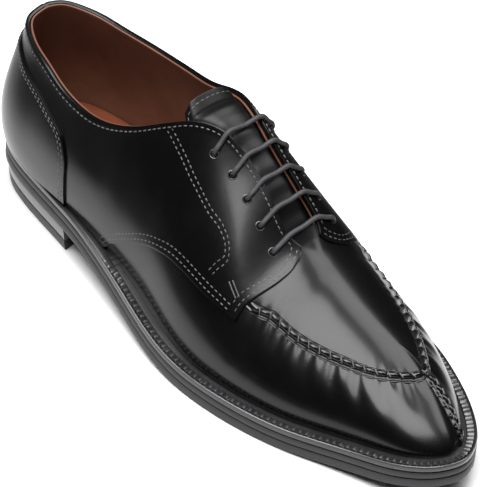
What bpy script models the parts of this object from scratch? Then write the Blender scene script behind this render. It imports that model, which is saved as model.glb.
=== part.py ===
# Split toe derby, right shoe, built in metres with the toe toward +X and up toward +Z.
# The sole outline and the upper come from short tables whose rows are shares of the named sizes,
# so a change of length, width or height carries through every piece.
import bpy
import bmesh
import math
import numpy as np
from mathutils import Vector
from mathutils.geometry import delaunay_2d_cdt

# driving sizes
LENGTH = 0.305
BALL_WIDTH = 0.107
BACK_HEIGHT = 0.0905
HEEL_BLOCK = 0.0140
TOP_PIECE = 0.0060
OUTSOLE = 0.0050
MIDSOLE = 0.0035
WELT = 0.0030
INSOLE = 0.0025
WALL = 0.0020
STEP = 0.0011
TONGUE_WALL = 0.0022
LACE_WIDTH = 0.0024
TOE_SPRING = 0.0110
BREAST = 0.232
GAP = 0.0003

# outline of the sole from heel back to toe tip
# share of length, lateral share of ball width, medial share of ball width
OUTLINE = (
    (0.000, 0.000, 0.000), (0.008, 0.112, 0.105), (0.035, 0.218, 0.208), (0.074, 0.270, 0.262),
    (0.123, 0.300, 0.295), (0.200, 0.330, 0.310), (0.280, 0.365, 0.297), (0.360, 0.407, 0.287),
    (0.440, 0.454, 0.305), (0.510, 0.490, 0.355), (0.580, 0.500, 0.425), (0.650, 0.482, 0.483),
    (0.715, 0.443, 0.502), (0.770, 0.393, 0.480), (0.830, 0.322, 0.420), (0.885, 0.262, 0.345),
    (0.930, 0.215, 0.265), (0.968, 0.150, 0.175), (0.992, 0.070, 0.085), (1.000, 0.000, 0.010),
)

# ledge of the welt outside the upper: share of length, share of ball width
LEDGE = ((0.00, 0.014), (0.10, 0.018), (0.20, 0.028), (0.30, 0.050), (0.40, 0.070), (0.60, 0.066), (1.00, 0.072))

# upper, open part, one row per column from heel back to throat: share of length at the feather,
# top line as share of length, lateral and medial share of ball width, lateral and medial share of
# back height, then fullness low on the wall (share of the rise, share of width) and the lead into
# the top line (forward share of length, side share of width, drop share of back height)
COLLAR = (
    (0.000, 0.023, 0.000, 0.000, 1.000, 1.000, 0.38, 0.062, -0.020, 0.000, 0.300),
    (0.035, 0.041, 0.133, 0.112, 0.986, 0.981, 0.38, 0.062, -0.010, 0.025, 0.290),
    (0.074, 0.079, 0.192, 0.173, 0.975, 0.961, 0.38, 0.056, -0.003, 0.038, 0.280),
    (0.123, 0.125, 0.224, 0.201, 0.959, 0.950, 0.38, 0.042, 0.000, 0.042, 0.260),
    (0.200, 0.190, 0.252, 0.224, 0.909, 0.956, 0.40, 0.036, 0.000, 0.040, 0.230),
    (0.280, 0.262, 0.248, 0.234, 0.898, 0.972, 0.40, 0.032, 0.000, 0.045, 0.210),
    (0.360, 0.331, 0.206, 0.215, 0.978, 1.022, 0.40, 0.032, 0.000, 0.075, 0.220),
    (0.420, 0.384, 0.145, 0.192, 1.086, 1.105, 0.41, 0.034, 0.000, 0.110, 0.230),
    (0.470, 0.426, 0.080, 0.164, 1.150, 1.149, 0.42, 0.040, 0.000, 0.130, 0.210),
    (0.505, 0.462, 0.030, 0.142, 1.140, 1.132, 0.43, 0.045, 0.000, 0.150, 0.170),
    (0.540, 0.498, 0.005, 0.126, 1.061, 1.072, 0.44, 0.048, 0.000, 0.160, 0.120),
    (0.600, 0.561, 0.005, 0.126, 0.912, 0.923, 0.45, 0.050, 0.000, 0.165, 0.080),
    (0.650, 0.613, 0.009, 0.131, 0.757, 0.785, 0.45, 0.050, 0.000, 0.165, 0.050),
    (0.690, 0.644, -0.065, 0.065, 0.713, 0.713, 0.45, 0.050, 0.000, 0.185, 0.000),
)
# upper, closed part, from the throat to the toe seam: share of length at the feather, ridge as share
# of length, of ball width and of back height, then fullness and lead as above
RIDGE = (
    (0.690, 0.644, 0.065, 0.713, 0.45, 0.050, 0.000, 0.185),
    (0.740, 0.682, 0.065, 0.646, 0.45, 0.048, 0.006, 0.180),
    (0.790, 0.718, 0.065, 0.602, 0.44, 0.045, 0.012, 0.170),
    (0.850, 0.754, 0.070, 0.562, 0.42, 0.040, 0.018, 0.150),
    (0.910, 0.784, 0.080, 0.530, 0.40, 0.032, 0.026, 0.110),
    (0.965, 0.804, 0.092, 0.508, 0.38, 0.024, 0.032, 0.050),
    (1.000, 0.814, 0.103, 0.497, 0.36, 0.018, 0.034, 0.000),
)
THROAT = 0.690
# way of the toe seam round the tip to the medial side
SEAM_SHIFT = 0.130

# lower edge of the quarter, from the welt up and forward to its corner
# share of length at the feather, share of the way from feather to top line
QUARTER_LOWER = (
    (0.325, 0.000), (0.345, 0.100), (0.376, 0.200), (0.427, 0.300), (0.482, 0.340), (0.530, 0.355),
    (0.583, 0.370), (0.640, 0.405),
)
# front edge of the quarter, from its corner up round the foot of the facing
QUARTER_FRONT = (
    (0.640, 0.405), (0.646, 0.510), (0.661, 0.615), (0.675, 0.710), (0.681, 0.780), (0.680, 0.860),
    (0.674, 0.940), (0.664, 1.000),
)
# top and front edge of the counter
COUNTER_EDGE = (
    (0.224, 0.000), (0.229, 0.280), (0.228, 0.500), (0.210, 0.660), (0.160, 0.745), (0.100, 0.800),
    (0.045, 0.845), (0.000, 0.860),
)
# raised seam round the apron, from under the quarter's corner to the toe seam
APRON_SEAM = (
    (0.640, 0.530), (0.690, 0.525), (0.735, 0.530), (0.785, 0.550), (0.835, 0.580), (0.880, 0.605),
    (0.917, 0.635), (0.953, 0.655), (0.983, 0.665), (1.000, 0.665),
)
SEAM_WIDTH = 0.0042
SEAM_RISE = 0.0013
TOE_SEAM_WIDTH = 0.0032
EDGE_RUN = 0.0004

# lace bars: share of length at the feather of each eyelet pair, from the top down
EYELETS = (0.508, 0.543, 0.577, 0.610, 0.642)
EYELET_INSET = 0.0110
TONGUE_HALF_TOP = 0.0200
TONGUE_HALF_TIP = 0.0165
TONGUE_LEAN = 0.0024
TONGUE_HALF_FOOT = 0.0200
TONGUE_RISE = 0.0060
TONGUE_BACK = 0.0050

COLUMNS = 60
MATERIALS = {
    "upper": ((0.012, 0.012, 0.014), 0.28),
    "tongue": ((0.014, 0.013, 0.014), 0.34),
    "sole": ((0.020, 0.019, 0.020), 0.42),
    "heel": ((0.016, 0.015, 0.016), 0.36),
    "insole": ((0.150, 0.052, 0.034), 0.55),
    "lace": ((0.030, 0.030, 0.032), 0.60),
}


def hermite(xs, ys, x):
    xs, ys, x = np.asarray(xs, float), np.asarray(ys, float), np.asarray(x, float)
    chord = np.diff(ys) / np.diff(xs)
    step = np.diff(xs)
    slope = np.empty(len(xs))
    slope[1:-1] = (chord[:-1] * step[1:] + chord[1:] * step[:-1]) / (step[:-1] + step[1:])
    slope[0] = chord[0]
    slope[-1] = chord[-1]
    i = np.clip(np.searchsorted(xs, x, side="right") - 1, 0, len(xs) - 2)
    h = step[i]
    u = (x - xs[i]) / h
    a = (1 + 2 * u) * (1 - u) ** 2 * ys[i] + u * (1 - u) ** 2 * h * slope[i]
    b = u * u * (3 - 2 * u) * ys[i + 1] - u * u * (1 - u) * h * slope[i + 1]
    return a + b


# the closed outline is a periodic cubic through the table's rows
ROWS = np.array(OUTLINE)
SHARE_STEP = np.hypot(np.diff(ROWS[:, 0]) * 3.0, np.diff(ROWS[:, 1:].mean(axis=1)))
KNOT_HALF = np.concatenate([[0.0], np.cumsum(SHARE_STEP)])
HALF = KNOT_HALF[-1]
KNOTS = np.concatenate([KNOT_HALF, 2 * HALF - KNOT_HALF[-2:0:-1]])
LOOP = np.concatenate([
    np.stack([ROWS[:, 0], -ROWS[:, 1]], axis=1),
    np.stack([ROWS[-2:0:-1, 0], ROWS[-2:0:-1, 2]], axis=1),
])
LOOP[len(ROWS) - 1, 1] = ROWS[-1, 2]


def loop_slopes():
    count = len(KNOTS)
    step = np.diff(np.append(KNOTS, 2 * HALF))
    matrix = np.zeros((count, count))
    right = np.zeros((count, 2))
    for i in range(count):
        before, after = step[i - 1], step[i]
        matrix[i, i - 1] = after
        matrix[i, i] = 2 * (before + after)
        matrix[i, (i + 1) % count] = before
        one = (LOOP[i] - LOOP[i - 1]) / before
        two = (LOOP[(i + 1) % count] - LOOP[i]) / after
        right[i] = 3 * (after * one + before * two)
    return np.linalg.solve(matrix, right)


SLOPES = loop_slopes()


def loop_at(p):
    p = np.mod(np.asarray(p, float), 2 * HALF)
    ends = np.append(KNOTS, 2 * HALF)
    i = np.clip(np.searchsorted(ends, p, side="right") - 1, 0, len(KNOTS) - 1)
    j = (i + 1) % len(KNOTS)
    h = (ends[i + 1] - ends[i])[..., None]
    u = ((p - ends[i]))[..., None] / h
    a = (1 + 2 * u) * (1 - u) ** 2 * LOOP[i] + u * (1 - u) ** 2 * h * SLOPES[i]
    b = u * u * (3 - 2 * u) * LOOP[j] - u * u * (1 - u) * h * SLOPES[j]
    return (a + b) * np.array([LENGTH, BALL_WIDTH])


def outline(side, t):
    # side is -1 for lateral and 1 for medial, t runs from heel back to toe tip
    t = np.asarray(t, float)
    shift = SEAM_SHIFT * t ** 4
    p = np.where(np.asarray(side) < 0, t * HALF + shift, 2 * HALF - t * HALF + shift)
    e = 1e-4
    way = loop_at(p + e) - loop_at(p - e)
    way /= np.linalg.norm(way, axis=-1, keepdims=True)
    normal = np.stack([way[..., 1], -way[..., 0]], axis=-1)
    return loop_at(p), normal


T_FINE = np.linspace(0, 1, 801)
X_FINE = loop_at(T_FINE * HALF)[:, 0] / LENGTH


def t_of(share):
    return np.interp(share, X_FINE, T_FINE)


# underside of the outsole: flat heel seat, shank, flat tread, toe spring
def sole_z(x):
    s = np.asarray(x, float) / LENGTH
    u = np.clip((0.600 - s) / (0.600 - BREAST), 0, 1)
    shank = HEEL_BLOCK * u * u * (3 - 2 * u)
    return shank + TOE_SPRING * np.clip((s - 0.720) / 0.280, 0, 1) ** 2


def ledge(x):
    rows = np.array(LEDGE)
    return hermite(rows[:, 0], rows[:, 1], np.clip(np.asarray(x) / LENGTH, 0, 1)) * BALL_WIDTH


def inset_loop(side, t, extra):
    point, normal = outline(side, t)
    return point - normal * (ledge(point[..., 0]) + extra)[..., None]


WELT_TOP = OUTSOLE + MIDSOLE + WELT + 2 * GAP
T_THROAT = float(t_of(THROAT))


def rows_of(table):
    rows = np.array(table)
    places = t_of(rows[:, 0])
    places = np.where(rows[:, 0] == 0, 0.0, np.where(rows[:, 0] == 1, 1.0, places))
    return places, rows


COLLAR_T, COLLAR_ROWS = rows_of(COLLAR)
RIDGE_T, RIDGE_ROWS = rows_of(RIDGE)


def open_column(k, t):
    return hermite(COLLAR_T, COLLAR_ROWS[:, k], np.clip(t, 0, T_THROAT))


def ridge_column(k, t):
    return hermite(RIDGE_T, RIDGE_ROWS[:, k], np.clip(t, T_THROAT, 1))


def skin_raw(side, t, v):
    side, t, v = np.broadcast_arrays(np.asarray(side, float), np.asarray(t, float), np.asarray(v, float))
    over = (t < 0) | (t > 1)
    side = np.where(over, -side, side)
    t = np.where(t < 0, -t, np.where(t > 1, 2 - t, t))
    lateral = side < 0
    joined = t >= T_THROAT
    point, normal = outline(side, t)
    foot = point - normal * ledge(point[..., 0])[..., None]
    foot = np.concatenate([foot, (sole_z(foot[..., 0]) + WELT_TOP)[..., None]], axis=-1)
    top_x = np.where(joined, ridge_column(1, t), open_column(1, t)) * LENGTH
    open_y = np.where(lateral, -open_column(2, t), open_column(3, t))
    top_y = np.where(joined, ridge_column(2, t), open_y) * BALL_WIDTH
    open_z = np.where(lateral, open_column(4, t), open_column(5, t))
    top_z = np.where(joined, ridge_column(3, t), open_z) * BACK_HEIGHT
    up = np.where(joined, ridge_column(4, t), open_column(6, t))
    full = np.where(joined, ridge_column(5, t), open_column(7, t)) * BALL_WIDTH
    forward = np.where(joined, ridge_column(6, t), open_column(8, t)) * LENGTH
    aside = np.where(joined, ridge_column(7, t), open_column(9, t)) * BALL_WIDTH
    drop = np.where(joined, 0.0, open_column(10, t)) * BACK_HEIGHT
    top = np.stack([top_x, top_y, top_z], axis=-1)
    rise = top_z - foot[..., 2]
    flat = np.zeros_like(rise)
    low = foot + np.concatenate([normal * full[..., None], (rise * up)[..., None]], axis=-1)
    e = 0.003
    run = (ridge_column(1, t + e) - ridge_column(1, t - e)) * LENGTH
    fall = (ridge_column(3, t + e) - ridge_column(3, t - e)) * BACK_HEIGHT
    sway = (ridge_column(2, t + e) - ridge_column(2, t - e)) * BALL_WIDTH
    run = np.where(joined, np.maximum(run, 1e-7), 1.0)
    lean = np.where(joined, forward * fall / run, flat)
    drift = np.where(joined, forward * sway / run, flat)
    lead = np.stack([forward, np.where(lateral, -aside, aside) + drift, lean - drop], axis=-1)
    high = top + lead
    w = v[..., None]
    return (1 - w) ** 3 * foot + 3 * w * (1 - w) ** 2 * low + 3 * w * w * (1 - w) * high + w ** 3 * top


def skin_normal(side, t, v):
    e = 1e-3
    along = skin_raw(side, t + e, v) - skin_raw(side, t - e, v)
    v0 = np.clip(v - e, 0, 1)
    v1 = np.clip(v + e, 0, 1)
    rise = skin_raw(side, t, v1) - skin_raw(side, t, v0)
    cross = np.cross(along, rise)
    cross = cross * np.where(np.asarray(side) < 0, 1.0, -1.0)[..., None]
    return cross / np.maximum(np.linalg.norm(cross, axis=-1, keepdims=True), 1e-12)


def skin(side, t, v, off):
    side, t, v, off = np.broadcast_arrays(
        np.asarray(side, float), np.asarray(t, float), np.asarray(v, float), np.asarray(off, float))
    # the lowest edge moves level, so that it stays just above the welt
    level = np.stack([np.ones_like(v), np.ones_like(v), np.clip(v / 0.03, 0, 1)], axis=-1)
    place = skin_raw(side, t, v) + skin_normal(side, t, v) * level * off[..., None]
    seam = ((v > 1 - 1e-9) & (t >= T_THROAT - 1e-9)) | (t < 1e-9) | (t > 1 - 1e-9)
    other = skin_raw(-side, t, v) + skin_normal(-side, t, v) * level * off[..., None]
    return np.where(seam[..., None], (place + other) / 2, place)


# the upper: one skin with steps at the quarter and counter, raised seams, and a lining side
PLANE = np.array([LENGTH, 0.080])
CELL = 0.0062


def smooth_path(points, spacing):
    rows = np.array(points)
    rows[:, 0] = np.where(rows[:, 0] == 0, 0.0, np.where(rows[:, 0] == 1, 1.0, t_of(rows[:, 0])))
    flat = rows * PLANE
    along = np.concatenate([[0.0], np.cumsum(np.linalg.norm(np.diff(flat, axis=0), axis=1))])
    fine = np.linspace(0, along[-1], 400)
    curve = np.stack([hermite(along, flat[:, 0], fine), hermite(along, flat[:, 1], fine)], axis=1)
    length = np.concatenate([[0.0], np.cumsum(np.linalg.norm(np.diff(curve, axis=0), axis=1))])
    count = max(2, int(round(length[-1] / spacing)))
    want = np.linspace(0, length[-1], count + 1)
    return np.stack([np.interp(want, length, curve[:, 0]), np.interp(want, length, curve[:, 1])], axis=1)


def shifted(path, amount):
    way = np.gradient(path, axis=0)
    way /= np.linalg.norm(way, axis=1, keepdims=True)
    return path + np.stack([way[:, 1], -way[:, 0]], axis=1) * amount


def distance(points, path):
    best = np.full(len(points), 1e9)
    for a, b in zip(path[:-1], path[1:]):
        ab = b - a
        u = np.clip(((points - a) @ ab) / (ab @ ab), 0, 1)
        best = np.minimum(best, np.linalg.norm(points - (a + u[:, None] * ab), axis=1))
    return best


def inside(points, polygon):
    hit = np.zeros(len(points), bool)
    a = polygon
    b = np.roll(polygon, -1, axis=0)
    for p, q in zip(a, b):
        crosses = (p[1] > points[:, 1]) != (q[1] > points[:, 1])
        rise = q[1] - p[1] if q[1] != p[1] else 1e-12
        hit ^= crosses & (points[:, 0] < (q[0] - p[0]) * (points[:, 1] - p[1]) / rise + p[0])
    return hit


QUARTER_PATH = np.concatenate([smooth_path(QUARTER_LOWER, 0.0055)[:-1], smooth_path(QUARTER_FRONT, 0.0055)])
QUARTER_PATH[0, 1] = 0.0
QUARTER_PATH[-1, 1] = PLANE[1]
COUNTER_PATH = smooth_path(COUNTER_EDGE, 0.0055)
COUNTER_PATH[0, 1] = 0.0
COUNTER_PATH[-1, 0] = 0.0
APRON_PATH = smooth_path(APRON_SEAM, 0.0050)
APRON_PATH[-1, 0] = PLANE[0]
TOE_PATH = np.array([[PLANE[0], 0.0], APRON_PATH[-1]])
QUARTER_AREA = np.concatenate([QUARTER_PATH, [[-0.01, PLANE[1] + 0.01], [-0.01, -0.01], [QUARTER_PATH[0, 0], -0.01]]])
QUARTER_AREA[-4, 1] += 0.01
COUNTER_AREA = np.concatenate([COUNTER_PATH, [[-0.01, COUNTER_PATH[-1, 1]], [-0.01, -0.01], [COUNTER_PATH[0, 0], -0.01]]])


def cover(points):
    # height of the outer face over the plain vamp
    quarter = inside(points, QUARTER_AREA)
    counter = inside(points, COUNTER_AREA)
    ridge = np.clip(1 - distance(points, APRON_PATH) / (SEAM_WIDTH / 2), 0, 1)
    toe = np.clip(1 - distance(points, TOE_PATH) / (TOE_SEAM_WIDTH / 2), 0, 1)
    seam = SEAM_RISE * np.maximum(ridge, 0.75 * toe)
    return np.where(counter, 2 * STEP, np.where(quarter, STEP, seam))


def cut_to_front(path):
    # the apron seam only counts in front of the quarter's edge
    keep = ~inside(path, QUARTER_AREA)
    first = int(np.argmax(keep))
    return path[max(first, 0):]


APRON_PATH = cut_to_front(APRON_PATH)


def edges_near(level):
    width, height = PLANE
    lines = []
    if level == "outer":
        for amount in (EDGE_RUN / 2, -EDGE_RUN / 2):
            line = shifted(QUARTER_PATH, amount)
            line[0, 1] = 0.0
            line[-1, 1] = height
            lines.append(line)
            line = shifted(COUNTER_PATH, amount)
            line[0, 1] = 0.0
            line[-1, 0] = 0.0
            lines.append(line)
        for amount in (SEAM_WIDTH / 2, 0.0, -SEAM_WIDTH / 2):
            line = shifted(APRON_PATH, amount)[1:]
            line[-1, 0] = width
            if amount == SEAM_WIDTH / 2:
                line = line[line[:, 0] < width - TOE_SEAM_WIDTH / 2 - 0.001]
            lines.append(line)
        low = np.linspace(0, APRON_PATH[-1, 1] - SEAM_WIDTH / 2 - 0.001, 7)
        lines.append(np.stack([np.full(7, width - TOE_SEAM_WIDTH / 2), low], axis=1))
    return lines


OUTER_LINES = edges_near("outer")


def border_marks(axis, value):
    marks = []
    for line in OUTER_LINES:
        for end in (line[0], line[-1]):
            if abs(end[axis] - value) < 1e-9:
                marks.append(end[1 - axis])
    return marks


def border(axis, value, count, extra=()):
    size = PLANE[1 - axis]
    marks = border_marks(axis, value) + list(extra)
    plain = [m for m in np.linspace(0, size, count + 1)]
    kept = [m for m in plain[1:-1] if all(abs(m - k) > 0.3 * size / count for k in marks)]
    return np.array(sorted(set([0.0, size] + kept + marks)))


SEAM_PLACE = T_THROAT * PLANE[0]
FOOT_MARKS = border(1, 0.0, COLUMNS)
TOP_MARKS = border(1, PLANE[1], COLUMNS, (SEAM_PLACE,))
HEEL_MARKS = border(0, 0.0, 15)
TOE_MARKS = border(0, PLANE[0], 15)


def sheet(lines, cell, foot, top, heel, toe):
    width, height = PLANE
    points = []
    edges = []

    def add(path):
        start = len(points)
        points.extend([tuple(p) for p in path])
        edges.extend([(start + i, start + i + 1) for i in range(len(path) - 1)])

    add([(a, 0.0) for a in foot])
    add([(a, height) for a in top])
    add([(0.0, b) for b in heel])
    add([(width, b) for b in toe])
    for line in lines:
        add(line)
    # a short line from the corner at the ridge's end keeps the two sides apart there
    add([(width, height), (width - 0.6 * cell, height - 0.6 * cell)])
    fixed = np.array(points)
    rows = int(round(height / (cell * 0.87)))
    for j in range(1, rows):
        b = height * j / rows
        for k in range(int(width / cell) + 1):
            a = (k + 0.5 * (j % 2) + 0.25) * cell
            if a > width - 0.5 * cell or a < 0.4 * cell:
                continue
            if np.min(np.hypot(fixed[:, 0] - a, fixed[:, 1] - b)) > 0.55 * cell:
                points.append((a, b))
    found = delaunay_2d_cdt([Vector(p) for p in points], edges, [], 0, 1e-6)
    flat = np.array([tuple(v) for v in found[0]])
    faces = [tuple(f) for f in found[2]]
    return flat, faces


def add_sheet(bm, flat, faces, side, heights, flip, shared):
    t = np.clip(flat[:, 0] / PLANE[0], 0, 1)
    v = np.clip(flat[:, 1] / PLANE[1], 0, 1)
    places = skin(side, t, v, heights)
    verts = []
    for i, place in enumerate(places):
        on_seam = t[i] < 1e-7 or t[i] > 1 - 1e-7 or (v[i] > 1 - 1e-7 and t[i] >= T_THROAT - 1e-7)
        key = (round(t[i], 6), round(v[i], 6))
        if on_seam and key in shared:
            verts.append(shared[key])
            continue
        vert = bm.verts.new(place)
        verts.append(vert)
        if on_seam:
            shared[key] = vert
    for face in faces:
        a, b, c = (verts[k] for k in face)
        p, q, r = (flat[k] for k in face)
        turn = (q[0] - p[0]) * (r[1] - p[1]) - (q[1] - p[1]) * (r[0] - p[0])
        if turn * side * (-1 if flip else 1) < 0:
            bm.faces.new((a, b, c))
        else:
            bm.faces.new((a, c, b))
    foot = {round(t[i], 6): verts[i] for i in range(len(t)) if v[i] < 1e-7}
    top = {round(t[i], 6): verts[i] for i in range(len(t)) if v[i] > 1 - 1e-7 and t[i] <= T_THROAT + 1e-7}
    return foot, top


def join_rims(bm, one, two):
    keys = sorted(one)
    for a, b in zip(keys[:-1], keys[1:]):
        ring = [one[a], one[b], two[b], two[a]]
        if ring[0] is ring[3] or ring[1] is ring[2]:
            ring = list(dict.fromkeys(ring))
        bm.faces.new(ring)


def finish(bm, name, look, sharp=35):
    bmesh.ops.recalc_face_normals(bm, faces=bm.faces)
    bmesh.ops.triangulate(bm, faces=bm.faces)
    if bm.calc_volume(signed=True) < 0:
        bmesh.ops.reverse_faces(bm, faces=bm.faces)
    mesh = bpy.data.meshes.new(name)
    bm.to_mesh(mesh)
    bm.free()
    mesh.shade_smooth()
    mesh.set_sharp_from_angle(angle=math.radians(sharp))
    colour, rough = MATERIALS[look]
    material = bpy.data.materials.get(look) or bpy.data.materials.new(look)
    material.use_nodes = True
    shader = material.node_tree.nodes["Principled BSDF"]
    shader.inputs["Base Color"].default_value = (*colour, 1.0)
    shader.inputs["Roughness"].default_value = rough
    mesh.materials.append(material)
    item = bpy.data.objects.new(name, mesh)
    bpy.context.scene.collection.objects.link(item)
    return item


def build_upper():
    bm = bmesh.new()
    outer, outer_faces = sheet(OUTER_LINES, CELL, FOOT_MARKS, TOP_MARKS, HEEL_MARKS, TOE_MARKS)
    open_top = TOP_MARKS[TOP_MARKS <= SEAM_PLACE + 1e-9]
    closed_top = np.linspace(SEAM_PLACE, PLANE[0], 14)[1:]
    inner, inner_faces = sheet(
        [], 0.0095, FOOT_MARKS, np.concatenate([open_top, closed_top]),
        np.linspace(0, PLANE[1], 9), np.linspace(0, PLANE[1], 9))
    heights = cover(outer)
    shared_out = {}
    shared_in = {}
    for side in (-1, 1):
        foot, top = add_sheet(bm, outer, outer_faces, side, heights, False, shared_out)
        low, high = add_sheet(bm, inner, inner_faces, side, np.full(len(inner), -WALL), True, shared_in)
        join_rims(bm, foot, low)
        join_rims(bm, top, high)
    return finish(bm, "upper", "upper")


# the sole slabs follow the outline and the height of the sole
def ring_points(count, inset=0.0, from_feather=False, last=1.0):
    t = np.linspace(0, last, count + 1)
    sides = []
    for side in (-1, 1):
        point, normal = outline(side, t)
        depth = ledge(point[:, 0]) + inset if from_feather else np.full(len(t), inset)
        sides.append(point - normal * depth[:, None])
    return sides


def slab(bm, levels, count, last=1.0, hole=None):
    # levels: list of (inset, from_feather, height function), from the underside to the top
    loops = []
    for inset, from_feather, height in levels:
        near, far = ring_points(count, inset, from_feather, last)
        if last < 1.0:
            ring = [*near, *far[::-1][:-1]]
        else:
            ring = [*near, *far[1:-1][::-1]]
        loops.append([bm.verts.new((p[0], p[1], float(height(p[0])))) for p in ring])
    total = len(loops[0])
    for low, high in zip(loops[:-1], loops[1:]):
        for i in range(total):
            j = (i + 1) % total
            bm.faces.new((low[i], low[j], high[j], high[i]))
    for ring in (loops[0], loops[-1]):
        if last < 1.0:
            for i in range(count):
                bm.faces.new(unique([ring[i], ring[i + 1], ring[-1 - i], ring[(total - i) % total]]))
        else:
            for i in range(count):
                bm.faces.new(unique([ring[i], ring[i + 1], ring[(total - i - 1) % total], ring[(total - i) % total]]))
    return loops


def unique(items):
    return list(dict.fromkeys(items))


def over_sole(offset):
    return lambda x: sole_z(x) + offset


SOLE_COUNT = 56
EDGE_ROUND = 0.0006


def build_outsole():
    bm = bmesh.new()
    slab(bm, [
        (EDGE_ROUND, False, over_sole(0.0)),
        (0.0, False, over_sole(EDGE_ROUND)),
        (0.0, False, over_sole(OUTSOLE - EDGE_ROUND)),
        (EDGE_ROUND, False, over_sole(OUTSOLE)),
    ], SOLE_COUNT)
    return finish(bm, "outsole", "sole")


def build_midsole():
    bm = bmesh.new()
    low = OUTSOLE + GAP
    slab(bm, [
        (EDGE_ROUND, False, over_sole(low)),
        (0.0, False, over_sole(low + EDGE_ROUND)),
        (0.0, False, over_sole(low + MIDSOLE - EDGE_ROUND)),
        (EDGE_ROUND, False, over_sole(low + MIDSOLE)),
    ], SOLE_COUNT)
    return finish(bm, "midsole", "sole")


WELT_IN = 0.0060


def build_welt():
    bm = bmesh.new()
    low = OUTSOLE + MIDSOLE + 2 * GAP
    levels = [
        (WELT_IN, True, low), (EDGE_ROUND, False, low), (0.0, False, low + EDGE_ROUND),
        (0.0, False, low + WELT - GAP - EDGE_ROUND), (EDGE_ROUND, False, low + WELT - GAP),
        (WELT_IN, True, low + WELT - GAP),
    ]
    loops = []
    for inset, from_feather, height in levels:
        near, far = ring_points(72, inset, from_feather)
        ring = [*near, *far[1:-1][::-1]]
        loops.append([bm.verts.new((p[0], p[1], float(sole_z(p[0]) + height))) for p in ring])
    total = len(loops[0])
    for low_ring, high_ring in zip(loops, loops[1:] + loops[:1]):
        for i in range(total):
            j = (i + 1) % total
            bm.faces.new((low_ring[i], low_ring[j], high_ring[j], high_ring[i]))
    return finish(bm, "welt", "sole")


HEEL_INSET = 0.0010
HEEL_TAPER = 0.0016


def heel_block(name, low, high):
    bm = bmesh.new()
    share = lambda z: HEEL_INSET + HEEL_TAPER * (1 - z / HEEL_BLOCK)
    last = float(t_of(BREAST - 0.004))
    slab(bm, [
        (share(low) + EDGE_ROUND, False, lambda x: low),
        (share(low), False, lambda x: low + EDGE_ROUND),
        (share(high), False, lambda x: high - EDGE_ROUND),
        (share(high) + EDGE_ROUND, False, lambda x: high),
    ], 22, last)
    return finish(bm, name, "heel")


INSOLE_CLEAR = 0.0013


def build_insole():
    bm = bmesh.new()
    low = WELT_TOP
    inset = WALL + INSOLE_CLEAR
    slab(bm, [
        (inset, True, over_sole(low)),
        (inset, True, over_sole(low + INSOLE)),
    ], SOLE_COUNT)
    return finish(bm, "insole", "insole")


# the tongue follows the inside of the facings, one row per station from the vamp up to its top
TONGUE_ROWS = 16
TONGUE_COLUMNS = 12
TONGUE_CLEAR = WALL + 2 * GAP
TONGUE_DIP = 0.0022
TONGUE_FROM = 0.760
TONGUE_TO = 0.452


def section(share, depth):
    t = float(t_of(share))
    v = np.linspace(0.30, 1.0, 80)
    near = skin(-1, np.full(80, t), v, np.full(80, -depth))
    far = skin(1, np.full(80, t), v, np.full(80, -depth))
    if t < T_THROAT:
        reach = np.linalg.norm(near[-1] - far[-1]) * 0.22
        one = near[-1] - near[-3]
        two = far[-1] - far[-3]
        a = near[-1] + one / np.linalg.norm(one) * reach
        b = far[-1] + two / np.linalg.norm(two) * reach
        w = np.linspace(0, 1, 30)[1:-1, None]
        arch = (1 - w) ** 3 * near[-1] + 3 * w * (1 - w) ** 2 * a + 3 * w * w * (1 - w) * b + w ** 3 * far[-1]
        line = np.concatenate([near, arch, far[::-1]])
        middle = 80 + 14
    else:
        line = np.concatenate([near, far[::-1][1:]])
        middle = 79
    along = np.concatenate([[0.0], np.cumsum(np.linalg.norm(np.diff(line, axis=0), axis=1))])
    return line, along - along[middle]


def tongue_face(extra):
    rows = []
    for i in range(TONGUE_ROWS + 1):
        u = i / TONGUE_ROWS
        share = TONGUE_FROM + (TONGUE_TO - TONGUE_FROM) * u
        # the tongue dips a little where it passes under the closed end of the throat
        dip = TONGUE_DIP * math.exp(-((share - THROAT + 0.010) / 0.045) ** 2)
        line, along = section(share, TONGUE_CLEAR + extra + dip)
        half = TONGUE_HALF_FOOT + (TONGUE_HALF_TOP - TONGUE_HALF_FOOT) * u
        want = np.linspace(-half, half, TONGUE_COLUMNS + 1)
        rows.append(np.stack([np.interp(want, along, line[:, k]) for k in range(3)], axis=1))
    for k in (0.33, 0.67, 1.0):
        line, along = section(TONGUE_TO, TONGUE_CLEAR + extra + TONGUE_LEAN * k)
        half = TONGUE_HALF_TOP + (TONGUE_HALF_TIP - TONGUE_HALF_TOP) * k
        want = np.linspace(-half, half, TONGUE_COLUMNS + 1)
        row = np.stack([np.interp(want, along, line[:, i]) for i in range(3)], axis=1)
        rows.append(row + np.array([-TONGUE_BACK * k, 0.0, TONGUE_RISE * k]))
    rows = np.array(rows)
    return rows


def build_tongue():
    bm = bmesh.new()
    faces = [tongue_face(0.0), tongue_face(TONGUE_WALL)]
    grids = [[[bm.verts.new(p) for p in row] for row in face] for face in faces]
    rows = len(grids[0])
    for grid in grids:
        for i in range(rows - 1):
            for j in range(TONGUE_COLUMNS):
                bm.faces.new((grid[i][j], grid[i][j + 1], grid[i + 1][j + 1], grid[i + 1][j]))
    one, two = grids
    rim = [(i, 0) for i in range(rows)] + [(rows - 1, j) for j in range(1, TONGUE_COLUMNS + 1)]
    rim += [(i, TONGUE_COLUMNS) for i in range(rows - 2, -1, -1)]
    rim += [(0, j) for j in range(TONGUE_COLUMNS - 1, 0, -1)]
    for a, b in zip(rim, rim[1:] + rim[:1]):
        bm.faces.new((one[a[0]][a[1]], one[b[0]][b[1]], two[b[0]][b[1]], two[a[0]][a[1]]))
    return finish(bm, "tongue", "tongue")


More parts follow.
